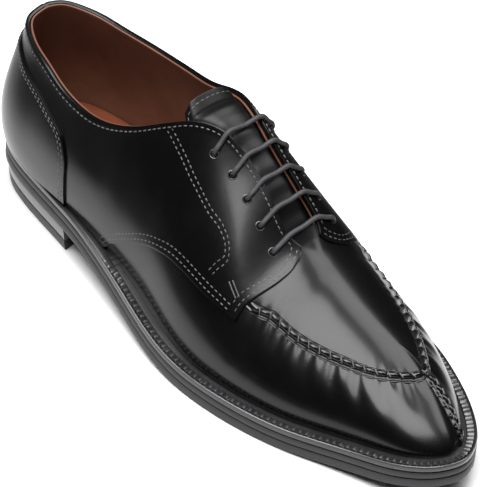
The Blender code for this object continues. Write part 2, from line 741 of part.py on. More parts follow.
def eyelet_place(side, share):
    v = np.linspace(0.3, 1.0, 400)
    line = skin(side, np.full(400, float(t_of(share))), v, np.full(400, STEP))
    along = np.concatenate([[0.0], np.cumsum(np.linalg.norm(np.diff(line, axis=0), axis=1))])
    k = int(np.argmin(np.abs(along - (along[-1] - EYELET_INSET))))
    normal = skin_normal(np.array([side]), np.array([float(t_of(share))]), np.array([v[k]]))[0]
    return line[k], normal, line[k:]


def build_lace(number, share):
    radius = LACE_WIDTH / 2
    near, near_up, near_line = eyelet_place(-1, share)
    far, far_up, far_line = eyelet_place(1, share)
    lift = radius + GAP
    a = near + near_up * lift
    b = far + far_up * lift
    top_a = near_line[-1] + skin_normal(np.array([-1]), np.array([float(t_of(share))]), np.array([1.0]))[0] * lift
    top_b = far_line[-1] + skin_normal(np.array([1]), np.array([float(t_of(share))]), np.array([1.0]))[0] * lift
    crown = (top_a + top_b) / 2 + np.array([0.0, 0.0, 0.0006])
    knots = np.array([a, (a + top_a) / 2 + near_up * 0.0007, top_a, crown, top_b, (b + top_b) / 2 + far_up * 0.0007, b])
    along = np.concatenate([[0.0], np.cumsum(np.linalg.norm(np.diff(knots, axis=0), axis=1))])
    want = np.linspace(0, along[-1], 13)
    path = np.stack([hermite(along, knots[:, k], want) for k in range(3)], axis=1)
    bm = bmesh.new()
    rings = []
    for i, point in enumerate(path):
        way = path[min(i + 1, 12)] - path[max(i - 1, 0)]
        way /= np.linalg.norm(way)
        side = np.cross(way, np.array([0.0, 0.0, 1.0]))
        side /= np.linalg.norm(side)
        up = np.cross(side, way)
        ring = []
        for k in range(8):
            angle = 2 * math.pi * k / 8
            ring.append(bm.verts.new(point + radius * (math.cos(angle) * side + math.sin(angle) * up)))
        rings.append(ring)
    for one, two in zip(rings[:-1], rings[1:]):
        for k in range(8):
            bm.faces.new((one[k], one[(k + 1) % 8], two[(k + 1) % 8], two[k]))
    bm.faces.new(rings[0])
    bm.faces.new(rings[-1][::-1])
    return finish(bm, "lace_bar_%d" % number, "lace")


def main():
    for item in list(bpy.data.objects):
        bpy.data.objects.remove(item, do_unlink=True)
    items = [
        build_outsole(),
        build_midsole(),
        build_welt(),
        heel_block("top_piece", 0.0, TOP_PIECE),
        heel_block("heel_stack", TOP_PIECE + GAP, HEEL_BLOCK - GAP),
        build_insole(),
        build_upper(),
        build_tongue(),
    ]
    for number, share in enumerate(EYELETS):
        items.append(build_lace(number + 1, share))
    # the frame's origin is below the middle of the whole shoe
    corners = np.array([tuple(v.co) for item in items for v in item.data.vertices])
    low = corners.min(axis=0)
    high = corners.max(axis=0)
    shift = Vector((-(low[0] + high[0]) / 2, -(low[1] + high[1]) / 2, -low[2]))
    for item in items:
        for vert in item.data.vertices:
            vert.co += shift


main()
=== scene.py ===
# Looks of the split toe derby: finished panels, seams, stitches, laces and sole edges laid over the
# packed frame. Lengths are in metres, the toe points to +X and the lateral side to -Y.
import functools
import math
import bpy
import numpy as np
from mathutils import Matrix, Vector


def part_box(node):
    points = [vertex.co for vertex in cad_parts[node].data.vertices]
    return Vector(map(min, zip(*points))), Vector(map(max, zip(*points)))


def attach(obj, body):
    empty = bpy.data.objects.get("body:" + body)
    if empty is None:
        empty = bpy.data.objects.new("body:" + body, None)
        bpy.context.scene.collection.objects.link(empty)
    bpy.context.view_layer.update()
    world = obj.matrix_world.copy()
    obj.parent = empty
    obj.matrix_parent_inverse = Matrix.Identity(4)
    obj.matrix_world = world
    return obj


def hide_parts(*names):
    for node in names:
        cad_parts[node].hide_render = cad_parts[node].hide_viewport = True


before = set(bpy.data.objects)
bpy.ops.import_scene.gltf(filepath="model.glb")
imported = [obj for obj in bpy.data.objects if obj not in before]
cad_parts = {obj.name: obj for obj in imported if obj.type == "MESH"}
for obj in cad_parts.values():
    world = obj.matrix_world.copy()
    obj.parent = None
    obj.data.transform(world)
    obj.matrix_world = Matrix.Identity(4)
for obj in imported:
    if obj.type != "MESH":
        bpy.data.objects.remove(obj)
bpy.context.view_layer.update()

bl_info = {
    "name": "Split toe derby",
    "version": (1, 0, 0),
    "blender": (4, 5, 0),
    "location": "View3D > Sidebar > Derby",
    "description": "Panels, seams, laces and sole of a split toe derby over its packed frame",
    "category": "Object",
}

# driving sizes
LENGTH = 0.305
BALL_WIDTH = 0.107
BACK_HEIGHT = 0.0905
HEEL_BLOCK = 0.0140
TOP_PIECE = 0.0060
OUTSOLE = 0.0050
MIDSOLE = 0.0035
WELT = 0.0030
INSOLE = 0.0025
WALL = 0.0020
# each panel of the upper lies this much over the one below
PANEL = 0.0011
TONGUE_WALL = 0.0022
LACE_WIDTH = 0.0024
TOE_SPRING = 0.0110
BREAST = 0.232
GAP = 0.0003

# outline of the sole from heel back to toe tip
# share of length, lateral share of ball width, medial share of ball width
OUTLINE = (
    (0.000, 0.000, 0.000), (0.008, 0.112, 0.105), (0.035, 0.218, 0.208), (0.074, 0.270, 0.262),
    (0.123, 0.300, 0.295), (0.200, 0.330, 0.310), (0.280, 0.365, 0.297), (0.360, 0.407, 0.287),
    (0.440, 0.454, 0.305), (0.510, 0.490, 0.355), (0.580, 0.500, 0.425), (0.650, 0.482, 0.483),
    (0.715, 0.443, 0.502), (0.770, 0.393, 0.480), (0.830, 0.322, 0.420), (0.885, 0.262, 0.345),
    (0.930, 0.215, 0.265), (0.968, 0.150, 0.175), (0.992, 0.070, 0.085), (1.000, 0.000, 0.010),
)

# ledge of the welt outside the upper: share of length, share of ball width
LEDGE = (
    (0.00, 0.014), (0.10, 0.018), (0.20, 0.028), (0.30, 0.050), (0.40, 0.070), (0.60, 0.066), (1.00, 0.072),
)

# upper, open part, one row per column from heel back to throat: share of length at the feather,
# top line as share of length, lateral and medial share of ball width, lateral and medial share of
# back height, then fullness low on the wall (share of the rise, share of width) and the lead into
# the top line (forward share of length, side share of width, drop share of back height)
COLLAR = (
    (0.000, 0.023, 0.000, 0.000, 1.000, 1.000, 0.38, 0.062, -0.020, 0.000, 0.300),
    (0.035, 0.041, 0.133, 0.112, 0.986, 0.981, 0.38, 0.062, -0.010, 0.025, 0.290),
    (0.074, 0.079, 0.192, 0.173, 0.975, 0.961, 0.38, 0.056, -0.003, 0.038, 0.280),
    (0.123, 0.125, 0.224, 0.201, 0.959, 0.950, 0.38, 0.042, 0.000, 0.042, 0.260),
    (0.200, 0.190, 0.252, 0.224, 0.909, 0.956, 0.40, 0.036, 0.000, 0.040, 0.230),
    (0.280, 0.262, 0.248, 0.234, 0.898, 0.972, 0.40, 0.032, 0.000, 0.045, 0.210),
    (0.360, 0.331, 0.206, 0.215, 0.978, 1.022, 0.40, 0.032, 0.000, 0.075, 0.220),
    (0.420, 0.384, 0.145, 0.192, 1.086, 1.105, 0.41, 0.034, 0.000, 0.110, 0.230),
    (0.470, 0.426, 0.080, 0.164, 1.150, 1.149, 0.42, 0.040, 0.000, 0.130, 0.210),
    (0.505, 0.462, 0.030, 0.142, 1.140, 1.132, 0.43, 0.045, 0.000, 0.150, 0.170),
    (0.540, 0.498, 0.005, 0.126, 1.061, 1.072, 0.44, 0.048, 0.000, 0.160, 0.120),
    (0.600, 0.561, 0.005, 0.126, 0.912, 0.923, 0.45, 0.050, 0.000, 0.165, 0.080),
    (0.650, 0.613, 0.009, 0.131, 0.757, 0.785, 0.45, 0.050, 0.000, 0.165, 0.050),
    (0.690, 0.644, -0.065, 0.065, 0.713, 0.713, 0.45, 0.050, 0.000, 0.185, 0.000),
)
# upper, closed part, from the throat to the toe seam: share of length at the feather, ridge as share
# of length, of ball width and of back height, then fullness and lead as above
RIDGE = (
    (0.690, 0.644, 0.065, 0.713, 0.45, 0.050, 0.000, 0.185),
    (0.740, 0.682, 0.065, 0.646, 0.45, 0.048, 0.006, 0.180),
    (0.790, 0.718, 0.065, 0.602, 0.44, 0.045, 0.012, 0.170),
    (0.850, 0.754, 0.070, 0.562, 0.42, 0.040, 0.018, 0.150),
    (0.910, 0.784, 0.080, 0.530, 0.40, 0.032, 0.026, 0.110),
    (0.965, 0.804, 0.092, 0.508, 0.38, 0.024, 0.032, 0.050),
    (1.000, 0.814, 0.103, 0.497, 0.36, 0.018, 0.034, 0.000),
)
THROAT = 0.690
# way of the toe seam round the tip to the medial side
SEAM_SHIFT = 0.130

# lower edge of the quarter, from the welt up and forward to its corner
# share of length at the feather, share of the way from feather to top line
QUARTER_LOWER = (
    (0.325, 0.000), (0.345, 0.100), (0.376, 0.200), (0.427, 0.300), (0.482, 0.340), (0.530, 0.355),
    (0.583, 0.370), (0.640, 0.405),
)
# front edge of the quarter, from its corner up round the foot of the facing
QUARTER_FRONT = (
    (0.640, 0.405), (0.646, 0.510), (0.661, 0.615), (0.675, 0.710), (0.681, 0.780), (0.680, 0.860),
    (0.674, 0.940), (0.664, 1.000),
)
# top and front edge of the counter
COUNTER_EDGE = (
    (0.224, 0.000), (0.229, 0.280), (0.228, 0.500), (0.210, 0.660), (0.160, 0.745), (0.100, 0.800),
    (0.045, 0.845), (0.000, 0.860),
)
# raised seam round the apron, from under the quarter's corner to the toe seam
APRON_SEAM = (
    (0.640, 0.530), (0.690, 0.525), (0.735, 0.530), (0.785, 0.550), (0.835, 0.580), (0.880, 0.605),
    (0.917, 0.635), (0.953, 0.655), (0.983, 0.665), (1.000, 0.665),
)

# lace bars: share of length at the feather of each eyelet pair, from the top down
EYELETS = (0.508, 0.543, 0.577, 0.610, 0.642)
EYELET_INSET = 0.0110
TONGUE_HALF_TOP = 0.0200
TONGUE_HALF_TIP = 0.0165
TONGUE_LEAN = 0.0024
TONGUE_HALF_FOOT = 0.0200
TONGUE_RISE = 0.0060
TONGUE_BACK = 0.0050


def hermite(xs, ys, x):
    # a smooth curve through the points xs, ys, read at x
    xs, ys, x = np.asarray(xs, float), np.asarray(ys, float), np.asarray(x, float)
    chord = np.diff(ys) / np.diff(xs)
    step = np.diff(xs)
    slope = np.empty(len(xs))
    slope[1:-1] = (chord[:-1] * step[1:] + chord[1:] * step[:-1]) / (step[:-1] + step[1:])
    slope[0] = chord[0]
    slope[-1] = chord[-1]
    i = np.clip(np.searchsorted(xs, x, side="right") - 1, 0, len(xs) - 2)
    h = step[i]
    u = (x - xs[i]) / h
    a = (1 + 2 * u) * (1 - u) ** 2 * ys[i] + u * (1 - u) ** 2 * h * slope[i]
    b = u * u * (3 - 2 * u) * ys[i + 1] - u * u * (1 - u) * h * slope[i + 1]
    return a + b


# the closed outline is a periodic cubic through the table's rows
ROWS = np.array(OUTLINE)
SHARE_STEP = np.hypot(np.diff(ROWS[:, 0]) * 3.0, np.diff(ROWS[:, 1:].mean(axis=1)))
KNOT_HALF = np.concatenate([[0.0], np.cumsum(SHARE_STEP)])
HALF = KNOT_HALF[-1]
KNOTS = np.concatenate([KNOT_HALF, 2 * HALF - KNOT_HALF[-2:0:-1]])
LOOP = np.concatenate([
    np.stack([ROWS[:, 0], -ROWS[:, 1]], axis=1),
    np.stack([ROWS[-2:0:-1, 0], ROWS[-2:0:-1, 2]], axis=1),
])
LOOP[len(ROWS) - 1, 1] = ROWS[-1, 2]


def loop_slopes():
    count = len(KNOTS)
    step = np.diff(np.append(KNOTS, 2 * HALF))
    matrix = np.zeros((count, count))
    right = np.zeros((count, 2))
    for i in range(count):
        before, after = step[i - 1], step[i]
        matrix[i, i - 1] = after
        matrix[i, i] = 2 * (before + after)
        matrix[i, (i + 1) % count] = before
        one = (LOOP[i] - LOOP[i - 1]) / before
        two = (LOOP[(i + 1) % count] - LOOP[i]) / after
        right[i] = 3 * (after * one + before * two)
    return np.linalg.solve(matrix, right)


SLOPES = loop_slopes()


def loop_at(p):
    p = np.mod(np.asarray(p, float), 2 * HALF)
    ends = np.append(KNOTS, 2 * HALF)
    i = np.clip(np.searchsorted(ends, p, side="right") - 1, 0, len(KNOTS) - 1)
    j = (i + 1) % len(KNOTS)
    h = (ends[i + 1] - ends[i])[..., None]
    u = ((p - ends[i]))[..., None] / h
    a = (1 + 2 * u) * (1 - u) ** 2 * LOOP[i] + u * (1 - u) ** 2 * h * SLOPES[i]
    b = u * u * (3 - 2 * u) * LOOP[j] - u * u * (1 - u) * h * SLOPES[j]
    return (a + b) * np.array([LENGTH, BALL_WIDTH])


def outline(side, t):
    # side is -1 for lateral and 1 for medial, t runs from heel back to toe tip
    t = np.asarray(t, float)
    shift = SEAM_SHIFT * t ** 4
    p = np.where(np.asarray(side) < 0, t * HALF + shift, 2 * HALF - t * HALF + shift)
    e = 1e-4
    way = loop_at(p + e) - loop_at(p - e)
    way /= np.linalg.norm(way, axis=-1, keepdims=True)
    normal = np.stack([way[..., 1], -way[..., 0]], axis=-1)
    return loop_at(p), normal


T_FINE = np.linspace(0, 1, 801)
X_FINE = loop_at(T_FINE * HALF)[:, 0] / LENGTH


def t_of(share):
    return np.interp(share, X_FINE, T_FINE)


# underside of the outsole: flat heel seat, shank, flat tread, toe spring
def sole_z(x):
    s = np.asarray(x, float) / LENGTH
    u = np.clip((0.600 - s) / (0.600 - BREAST), 0, 1)
    shank = HEEL_BLOCK * u * u * (3 - 2 * u)
    return shank + TOE_SPRING * np.clip((s - 0.720) / 0.280, 0, 1) ** 2


def ledge(x):
    rows = np.array(LEDGE)
    return hermite(rows[:, 0], rows[:, 1], np.clip(np.asarray(x) / LENGTH, 0, 1)) * BALL_WIDTH


WELT_TOP = OUTSOLE + MIDSOLE + WELT + 2 * GAP
T_THROAT = float(t_of(THROAT))


def rows_of(table):
    rows = np.array(table)
    places = t_of(rows[:, 0])
    places = np.where(rows[:, 0] == 0, 0.0, np.where(rows[:, 0] == 1, 1.0, places))
    return places, rows


COLLAR_T, COLLAR_ROWS = rows_of(COLLAR)
RIDGE_T, RIDGE_ROWS = rows_of(RIDGE)
# the open part's places t, and how far along t each column is eased
OPEN_T = np.linspace(0, T_THROAT, 601)
OPEN_EVEN = 0.016


def eased(k):
    # the table's column, eased along the shoe so that the top line has no corners
    plain = hermite(COLLAR_T, COLLAR_ROWS[:, k], OPEN_T)
    sign = -1.0 if k in (2, 3) else 1.0
    ahead = 2 * plain[-1] - plain[-2:-151:-1]
    wide = np.concatenate([sign * plain[150:0:-1], plain, ahead])
    step = OPEN_T[1]
    reach = np.arange(-90, 91) * step
    weight = np.exp(-(reach / OPEN_EVEN) ** 2)
    smooth = np.convolve(wide, weight / weight.sum(), mode="same")[150:751]
    keep = np.clip((T_THROAT - OPEN_T) / 0.03, 0, 1)
    return plain + (smooth - plain) * keep


OPEN_COLUMNS = {k: eased(k) for k in range(1, 11)}


def open_column(k, t):
    return np.interp(np.clip(t, 0, T_THROAT), OPEN_T, OPEN_COLUMNS[k])


def ridge_column(k, t):
    return hermite(RIDGE_T, RIDGE_ROWS[:, k], np.clip(t, T_THROAT, 1))


def folded(side, t):
    # t below 0 or above 1 passes to the other side
    over = (t < 0) | (t > 1)
    return np.where(over, -side, side), np.where(t < 0, -t, np.where(t > 1, 2 - t, t))


def even_arrays(*values):
    return np.broadcast_arrays(*[np.asarray(value, float) for value in values])


def skin_raw(side, t, v):
    side, t, v = even_arrays(side, t, v)
    side, t = folded(side, t)
    lateral = side < 0
    joined = t >= T_THROAT
    point, normal = outline(side, t)
    foot = point - normal * ledge(point[..., 0])[..., None]
    foot = np.concatenate([foot, (sole_z(foot[..., 0]) + WELT_TOP)[..., None]], axis=-1)

    def column(ridge, opened, medial=None):
        here = open_column(opened, t)
        if medial:
            here = np.where(lateral, here, open_column(medial, t))
        return np.where(joined, ridge_column(ridge, t), here)

    top_x = column(1, 1) * LENGTH
    open_y = np.where(lateral, -open_column(2, t), open_column(3, t))
    top_y = np.where(joined, ridge_column(2, t), open_y) * BALL_WIDTH
    top_z = column(3, 4, 5) * BACK_HEIGHT
    up = column(4, 6)
    full = column(5, 7) * BALL_WIDTH
    forward = column(6, 8) * LENGTH
    aside = column(7, 9) * BALL_WIDTH
    drop = np.where(joined, 0.0, open_column(10, t)) * BACK_HEIGHT
    top = np.stack([top_x, top_y, top_z], axis=-1)
    rise = top_z - foot[..., 2]
    flat = np.zeros_like(rise)
    low = foot + np.concatenate([normal * full[..., None], (rise * up)[..., None]], axis=-1)
    e = 0.003
    run = (ridge_column(1, t + e) - ridge_column(1, t - e)) * LENGTH
    fall = (ridge_column(3, t + e) - ridge_column(3, t - e)) * BACK_HEIGHT
    sway = (ridge_column(2, t + e) - ridge_column(2, t - e)) * BALL_WIDTH
    run = np.where(joined, np.maximum(run, 1e-7), 1.0)
    lean = np.where(joined, forward * fall / run, flat)
    drift = np.where(joined, forward * sway / run, flat)
    lead = np.stack([forward, np.where(lateral, -aside, aside) + drift, lean - drop], axis=-1)
    high = top + lead
    w = v[..., None]
    return (1 - w) ** 3 * foot + 3 * w * (1 - w) ** 2 * low + 3 * w * w * (1 - w) * high + w ** 3 * top


def skin_normal(side, t, v):
    e = 1e-3
    along = skin_raw(side, t + e, v) - skin_raw(side, t - e, v)
    v0 = np.clip(v - e, 0, 1)
    v1 = np.clip(v + e, 0, 1)
    rise = skin_raw(side, t, v1) - skin_raw(side, t, v0)
    cross = np.cross(along, rise)
    cross = cross * np.where(np.asarray(side) < 0, 1.0, -1.0)[..., None]
    return cross / np.maximum(np.linalg.norm(cross, axis=-1, keepdims=True), 1e-12)


def skin(side, t, v, off):
    side, t, v, off = even_arrays(side, t, v, off)
    # the lowest edge moves level, so that it stays just above the welt
    level = np.stack([np.ones_like(v), np.ones_like(v), np.clip(v / 0.03, 0, 1)], axis=-1)
    place = skin_raw(side, t, v) + skin_normal(side, t, v) * level * off[..., None]
    seam = ((v > 1 - 1e-9) & (t >= T_THROAT - 1e-9)) | (t < 1e-9) | (t > 1 - 1e-9)
    other = skin_raw(-side, t, v) + skin_normal(-side, t, v) * level * off[..., None]
    return np.where(seam[..., None], (place + other) / 2, place)


def arc(places):
    # metres along a line of places
    return np.concatenate([[0.0], np.cumsum(np.linalg.norm(np.diff(places, axis=0), axis=1))])


# paths over the upper, as places t along the shoe and v up the wall
PLANE = np.array([LENGTH, 0.080])
PATH_STEP = 0.0008


def smooth_path(points, spacing):
    rows = np.array(points)
    rows[:, 0] = np.where(rows[:, 0] == 0, 0.0, np.where(rows[:, 0] == 1, 1.0, t_of(rows[:, 0])))
    flat = rows * PLANE
    along = arc(flat)
    fine = np.linspace(0, along[-1], 400)
    curve = np.stack([hermite(along, flat[:, 0], fine), hermite(along, flat[:, 1], fine)], axis=1)
    length = arc(curve)
    count = max(2, int(round(length[-1] / spacing)))
    want = np.linspace(0, length[-1], count + 1)
    path = np.stack([np.interp(want, length, curve[:, 0]), np.interp(want, length, curve[:, 1])], axis=1)
    return path / PLANE


def shifted(path, amount):
    way = np.gradient(path, axis=0)
    way /= np.linalg.norm(way, axis=1, keepdims=True)
    return path + np.stack([way[:, 1], -way[:, 0]], axis=1) * amount


# the packed solids sit about the middle of the sole, so the tables' own frame moves by this much
SOLE_LOOP = loop_at(np.linspace(0, 2 * HALF, 2000))
SHIFT = np.append(np.array(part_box("outsole")[0][:2]) - SOLE_LOOP.min(axis=0), 0.0)
T_CORNER = float(t_of(QUARTER_FRONT[0][0]))
T_QUARTER = float(t_of(QUARTER_LOWER[0][0]))
LINING_OUT = 0.0010
# room between two leathers
HAIR = 0.00005
LINING_WALL = 0.0009
FINE = 1e-3
CORNER_V = QUARTER_FRONT[0][1]
# how far the lower edge of a panel dips into the welt's groove
FOOT_TUCK = 0.0005
# metres of leather for a whole step of v, below and above the apron seam
WALL_RISE = 0.058
APRON_RISE = 0.060


def shell(side, t, v, off):
    # the upper's own surface, moved into the frame
    side, t, v, off = even_arrays(side, t, v, off)
    return skin(*folded(side, t), v, off) + SHIFT


def way_at(path, t):
    return np.interp(t, path[:, 0], path[:, 1])


LOWER = smooth_path(QUARTER_LOWER, PATH_STEP)
FRONT = smooth_path(QUARTER_FRONT, PATH_STEP)
COUNTER = smooth_path(COUNTER_EDGE, PATH_STEP)
APRON = smooth_path(APRON_SEAM, PATH_STEP)


def apron_v(t):
    # t may run past the toe seam to the other side
    t = np.where(np.asarray(t, float) > 1, 2 - np.asarray(t, float), t)
    return np.where(t < T_CORNER, APRON_SEAM[0][1], way_at(APRON, t))


def rise_at(side, t, v):
    # metres of surface for a whole step of v
    up = shell(side, t, np.clip(v + 0.01, 0, 1), 0.0)
    down = shell(side, t, np.clip(v - 0.01, 0, 1), 0.0)
    return np.linalg.norm(up - down, axis=-1) / 0.02


def soft(a, b, seed, size):
    # a slow unevenness, as leather has over a last
    total = np.zeros(np.broadcast(a, b).shape)
    for k in range(1, 5):
        turn = seed * 1.7 + k * 2.4
        total = total + np.sin(a * (9 + 6 * k) + turn) * np.sin(b * (3 + 2.3 * k) + turn * 1.3) / k
    return total * size


def resampled(line, count):
    along = arc(line)
    want = np.linspace(0, along[-1], count)
    return np.stack([np.interp(want, along, line[:, k]) for k in range(3)], axis=1)


def bump(x, middle, half):
    # a smooth rise that is one at the middle and zero past half
    u = np.clip(np.abs(x - middle) / half, 0, 1)
    return (1 - u * u) ** 2


def deselect():
    if bpy.context.object and bpy.context.object.mode != "OBJECT":
        bpy.ops.object.mode_set(mode="OBJECT")
    bpy.ops.object.select_all(action="DESELECT")


def pick(*pieces):
    deselect()
    for piece in pieces:
        piece.select_set(True)
    bpy.context.view_layer.objects.active = pieces[0]


def joined(pieces):
    pick(*pieces)
    bpy.ops.object.join()
    return bpy.context.object


def edit(piece, *steps):
    pick(piece)
    bpy.ops.object.mode_set(mode="EDIT")
    bpy.ops.mesh.select_all(action="SELECT")
    for step in steps:
        step()
    bpy.ops.object.mode_set(mode="OBJECT")


def apply_modifier(piece, kind, **settings):
    pick(piece)
    modifier = piece.modifiers.new(kind.title(), kind)
    for key, value in settings.items():
        setattr(modifier, key, value)
    bpy.ops.object.modifier_apply(modifier=modifier.name)


def dressed(piece, look, nodes=(), angle=40):
    pick(piece)
    bpy.ops.object.shade_smooth_by_angle(angle=math.radians(angle))
    for name in (look if isinstance(look, tuple) else (look,)):
        piece.data.materials.append(bpy.data.materials[name])
    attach(piece, "root")
    if nodes:
        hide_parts(*nodes)
    return piece


def triples(parts, label):
    # one row of three numbers for each part of a mesh
    values = np.empty(len(parts) * 3)
    parts.foreach_get(label, values)
    return values.reshape(-1, 3)


def woven(name, places, closed=False, weld=2e-5):
    # a primitive grid whose crossings are moved to the given rows and columns of places
    rows, columns = places.shape[:2]
    deselect()
    bpy.ops.mesh.primitive_grid_add(x_subdivisions=columns - 1, y_subdivisions=rows - 1, size=1.0)
    piece = bpy.context.object
    piece.name = name
    piece.data.name = name
    flat = triples(piece.data.vertices, "co")
    i = np.rint((flat[:, 1] + 0.5) * (rows - 1)).astype(int)
    j = np.rint((flat[:, 0] + 0.5) * (columns - 1)).astype(int)
    piece.data.vertices.foreach_set("co", places[i, j].ravel())
    piece.data.update()
    edit(piece, lambda: bpy.ops.mesh.remove_doubles(threshold=weld))
    if closed:
        edit(piece, lambda: bpy.ops.mesh.normals_make_consistent(inside=False))
        return piece
    # an open sheet faces away from the middle of the shoe
    centre = triples(piece.data.polygons, "center")
    normal = triples(piece.data.polygons, "normal")
    axis = np.stack([centre[:, 0] * 0.97, centre[:, 1] * 0.2, np.full(len(centre), 0.028)], axis=1)
    facing = ((centre - axis) * normal).sum(axis=1).sum()
    if facing < 0:
        edit(piece, lambda: bpy.ops.mesh.flip_normals())
    return piece


def thickened(piece, wall, edge=0.00025, rim=0):
    apply_modifier(piece, "SOLIDIFY", thickness=wall, offset=-1.0, use_even_offset=False,
                   material_offset_rim=rim, use_quality_normals=True)
    if edge:
        apply_modifier(piece, "BEVEL", width=edge, segments=2, limit_method="ANGLE",
                       angle_limit=math.radians(58), use_clamp_overlap=True)
    return piece


def grown(template, spots, name):
    # one joined mesh from many placed copies of a template mesh, a matrix for each copy
    base = triples(template.vertices, "co")
    count = len(base)
    faces = [tuple(p.vertices) for p in template.polygons]
    points = []
    polygons = []
    for number, (turn, place) in enumerate(spots):
        points.append(base @ turn.T + place)
        polygons += [tuple(k + number * count for k in face) for face in faces]
    mesh = bpy.data.meshes.new(name)
    mesh.from_pydata(np.concatenate(points).tolist(), [], polygons)
    mesh.update()
    piece = bpy.data.objects.new(name, mesh)
    bpy.context.collection.objects.link(piece)
    return piece


# length and radius of one stitch of each thread that no size of the panel sets
APRON_THREAD = (0.0036, 0.00030)
LOCK_THREAD = (0.0050, 0.00026)
HEM_THREAD = (0.0023, 0.00026)
WELT_THREAD = (0.0032, 0.00052)


def thread_template(length, radius, lift=0.55):
    # one stitch: a short thread whose ends sink into the leather
    deselect()
    bpy.ops.mesh.primitive_uv_sphere_add(segments=8, ring_count=7, radius=1.0)
    piece = bpy.context.object
    mesh = piece.data
    flat = triples(mesh.vertices, "co")
    along = flat[:, 2].copy()
    wide = np.sqrt(np.clip(1 - along ** 4, 0, 1)) / np.sqrt(np.clip(1 - along ** 2, 1e-3, 1))
    shaped = np.stack([
        along * length / 2, flat[:, 0] * radius * wide,
        flat[:, 1] * radius * wide - radius * (1 - lift) - radius * 0.9 * along ** 4], axis=1)
    mesh.vertices.foreach_set("co", shaped.ravel())
    mesh.update()
    edit(piece, lambda: bpy.ops.mesh.normals_make_consistent(inside=False))
    bpy.data.objects.remove(piece)
    return mesh


def turned(way, up):
    # a turn whose first axis is the way and whose third leans to up
    way = way / np.linalg.norm(way)
    up = up - way * (up @ way)
    up = up / np.linalg.norm(up)
    return np.stack([way, np.cross(up, way), up], axis=1)


def on_path(side, path, off, pitch, start=0.5):
    # places, ways and surface normals every pitch along a path over the upper
    places = shell(side, path[:, 0], path[:, 1], off)
    along = arc(places)
    count = max(1, int(along[-1] / pitch - start + 0.5))
    want = (np.arange(count) + start) * pitch

    def at(place):
        return np.interp(place, along, path[:, 0]), np.interp(place, along, path[:, 1])

    t, v = at(want)
    way = shell(side, *at(want + 0.0006), off) - shell(side, *at(want - 0.0006), off)
    up = skin_normal(*folded(np.full(count, float(side)), t), v)
    return shell(side, t, v, off), way, up


def moved_path(path, amount):
    return shifted(path * PLANE, amount) / PLANE


def row_of_stitches(side, path, off, pitch):
    return [(turned(way, up), place) for place, way, up in zip(*on_path(side, path, off, pitch))]


def sole_edge(q, inset, from_feather=False):
    # q runs 0 to 1 along the lateral side and 1 to 2 back along the medial side
    q = np.asarray(q, float)
    side = np.where(q <= 1, -1.0, 1.0)
    t = np.where(q <= 1, q, 2 - q)
    point, normal = outline(side, t)
    extra = ledge(point[..., 0]) if from_feather else np.zeros_like(point[..., 0])
    return point - normal * (extra + inset)[..., None], t


def even_q(count):
    fine = np.linspace(0, 2, 6001)
    along = arc(sole_edge(fine, 0.0)[0])
    return np.interp(np.linspace(0, along[-1], count), along, fine)


def slab_piece(name, profile, count):
    # a closed slab: rows of the profile go from the spine under the sole round the edge and back on top
    q = even_q(count)
    rows = []
    for share, inset, feather, height in profile:
        edge, t = sole_edge(q, inset, feather)
        spine = (sole_edge(t, inset, feather)[0] + sole_edge(2 - t, inset, feather)[0]) / 2
        flat = spine + (edge - spine) * share
        lift = height(flat[:, 0], q) if callable(height) else np.full(len(flat), height)
        rows.append(np.stack([flat[:, 0], flat[:, 1], sole_z(flat[:, 0]) + lift], axis=1))
    return woven(name, np.array(rows) + SHIFT, closed=True)


def quarter_place(q, w):
    # q runs -1 to 1 from the lateral front edge round the heel to the medial one, w from foot to top
    a = np.abs(q)
    low = way_at(LOWER, a * T_CORNER)
    low = np.where(a * T_CORNER < LOWER[0, 0], 0.0, low)
    high = CORNER_V + (1 - CORNER_V) * w
    order = np.argsort(FRONT[:, 1])
    front = np.interp(high, FRONT[order, 1], FRONT[order, 0])
    return np.where(q < 0, -1.0, 1.0), a * front, low + (1 - low) * w


# share of length, share of the wall, half width and depth of each crease
QUARTER_CREASES = (
    (0.300, 0.75, 0.05, -0.0004), (0.350, 0.62, 0.03, 0.0003), (0.440, 0.62, 0.03, -0.0003),
    (0.470, 0.52, 0.03, 0.0002),
)


def make_quarters(sizes):
    q = np.linspace(-1, 1, 341)
    w = np.linspace(0, 1, 62)
    qq, ww = np.meshgrid(q, w)
    side, t, v = quarter_place(qq, ww)
    off = PANEL + soft(t, v, 1.0, 0.00006) + 0.00025 * bump(ww, 1.0, 0.10)
    # the back seam is a shallow channel
    off = off - 0.0004 * bump(np.abs(qq), 0.0, 0.010)
    for share, height, half, depth in QUARTER_CREASES:
        off = off + depth * bump(t, float(t_of(share)) + 0.05 * (v - height), half) * bump(v, height, 0.24)
    places = shell(side, t, v, off)
    places[0, :, 2] -= np.where(v[0] < 0.02, FOOT_TUCK, 0.0)
    piece = thickened(woven("quarters", places), PANEL - HAIR + LINING_OUT, rim=1)
    cut_eyelets(piece)
    return dressed(piece, ("calf", "cut_edge"), ["upper"])


EYELET_HOLE = 0.0036


def eyelet_spot(side, share, off=PANEL):
    v = np.linspace(0.3, 1.0, 400)
    line = skin(side, np.full(400, float(t_of(share))), v, np.full(400, off))
    along = arc(line)
    k = int(np.argmin(np.abs(along - (along[-1] - EYELET_INSET))))
    up = skin_normal(np.array([side]), np.array([float(t_of(share))]), np.array([v[k]]))[0]
    return line[k] + SHIFT, up, line[k:] + SHIFT


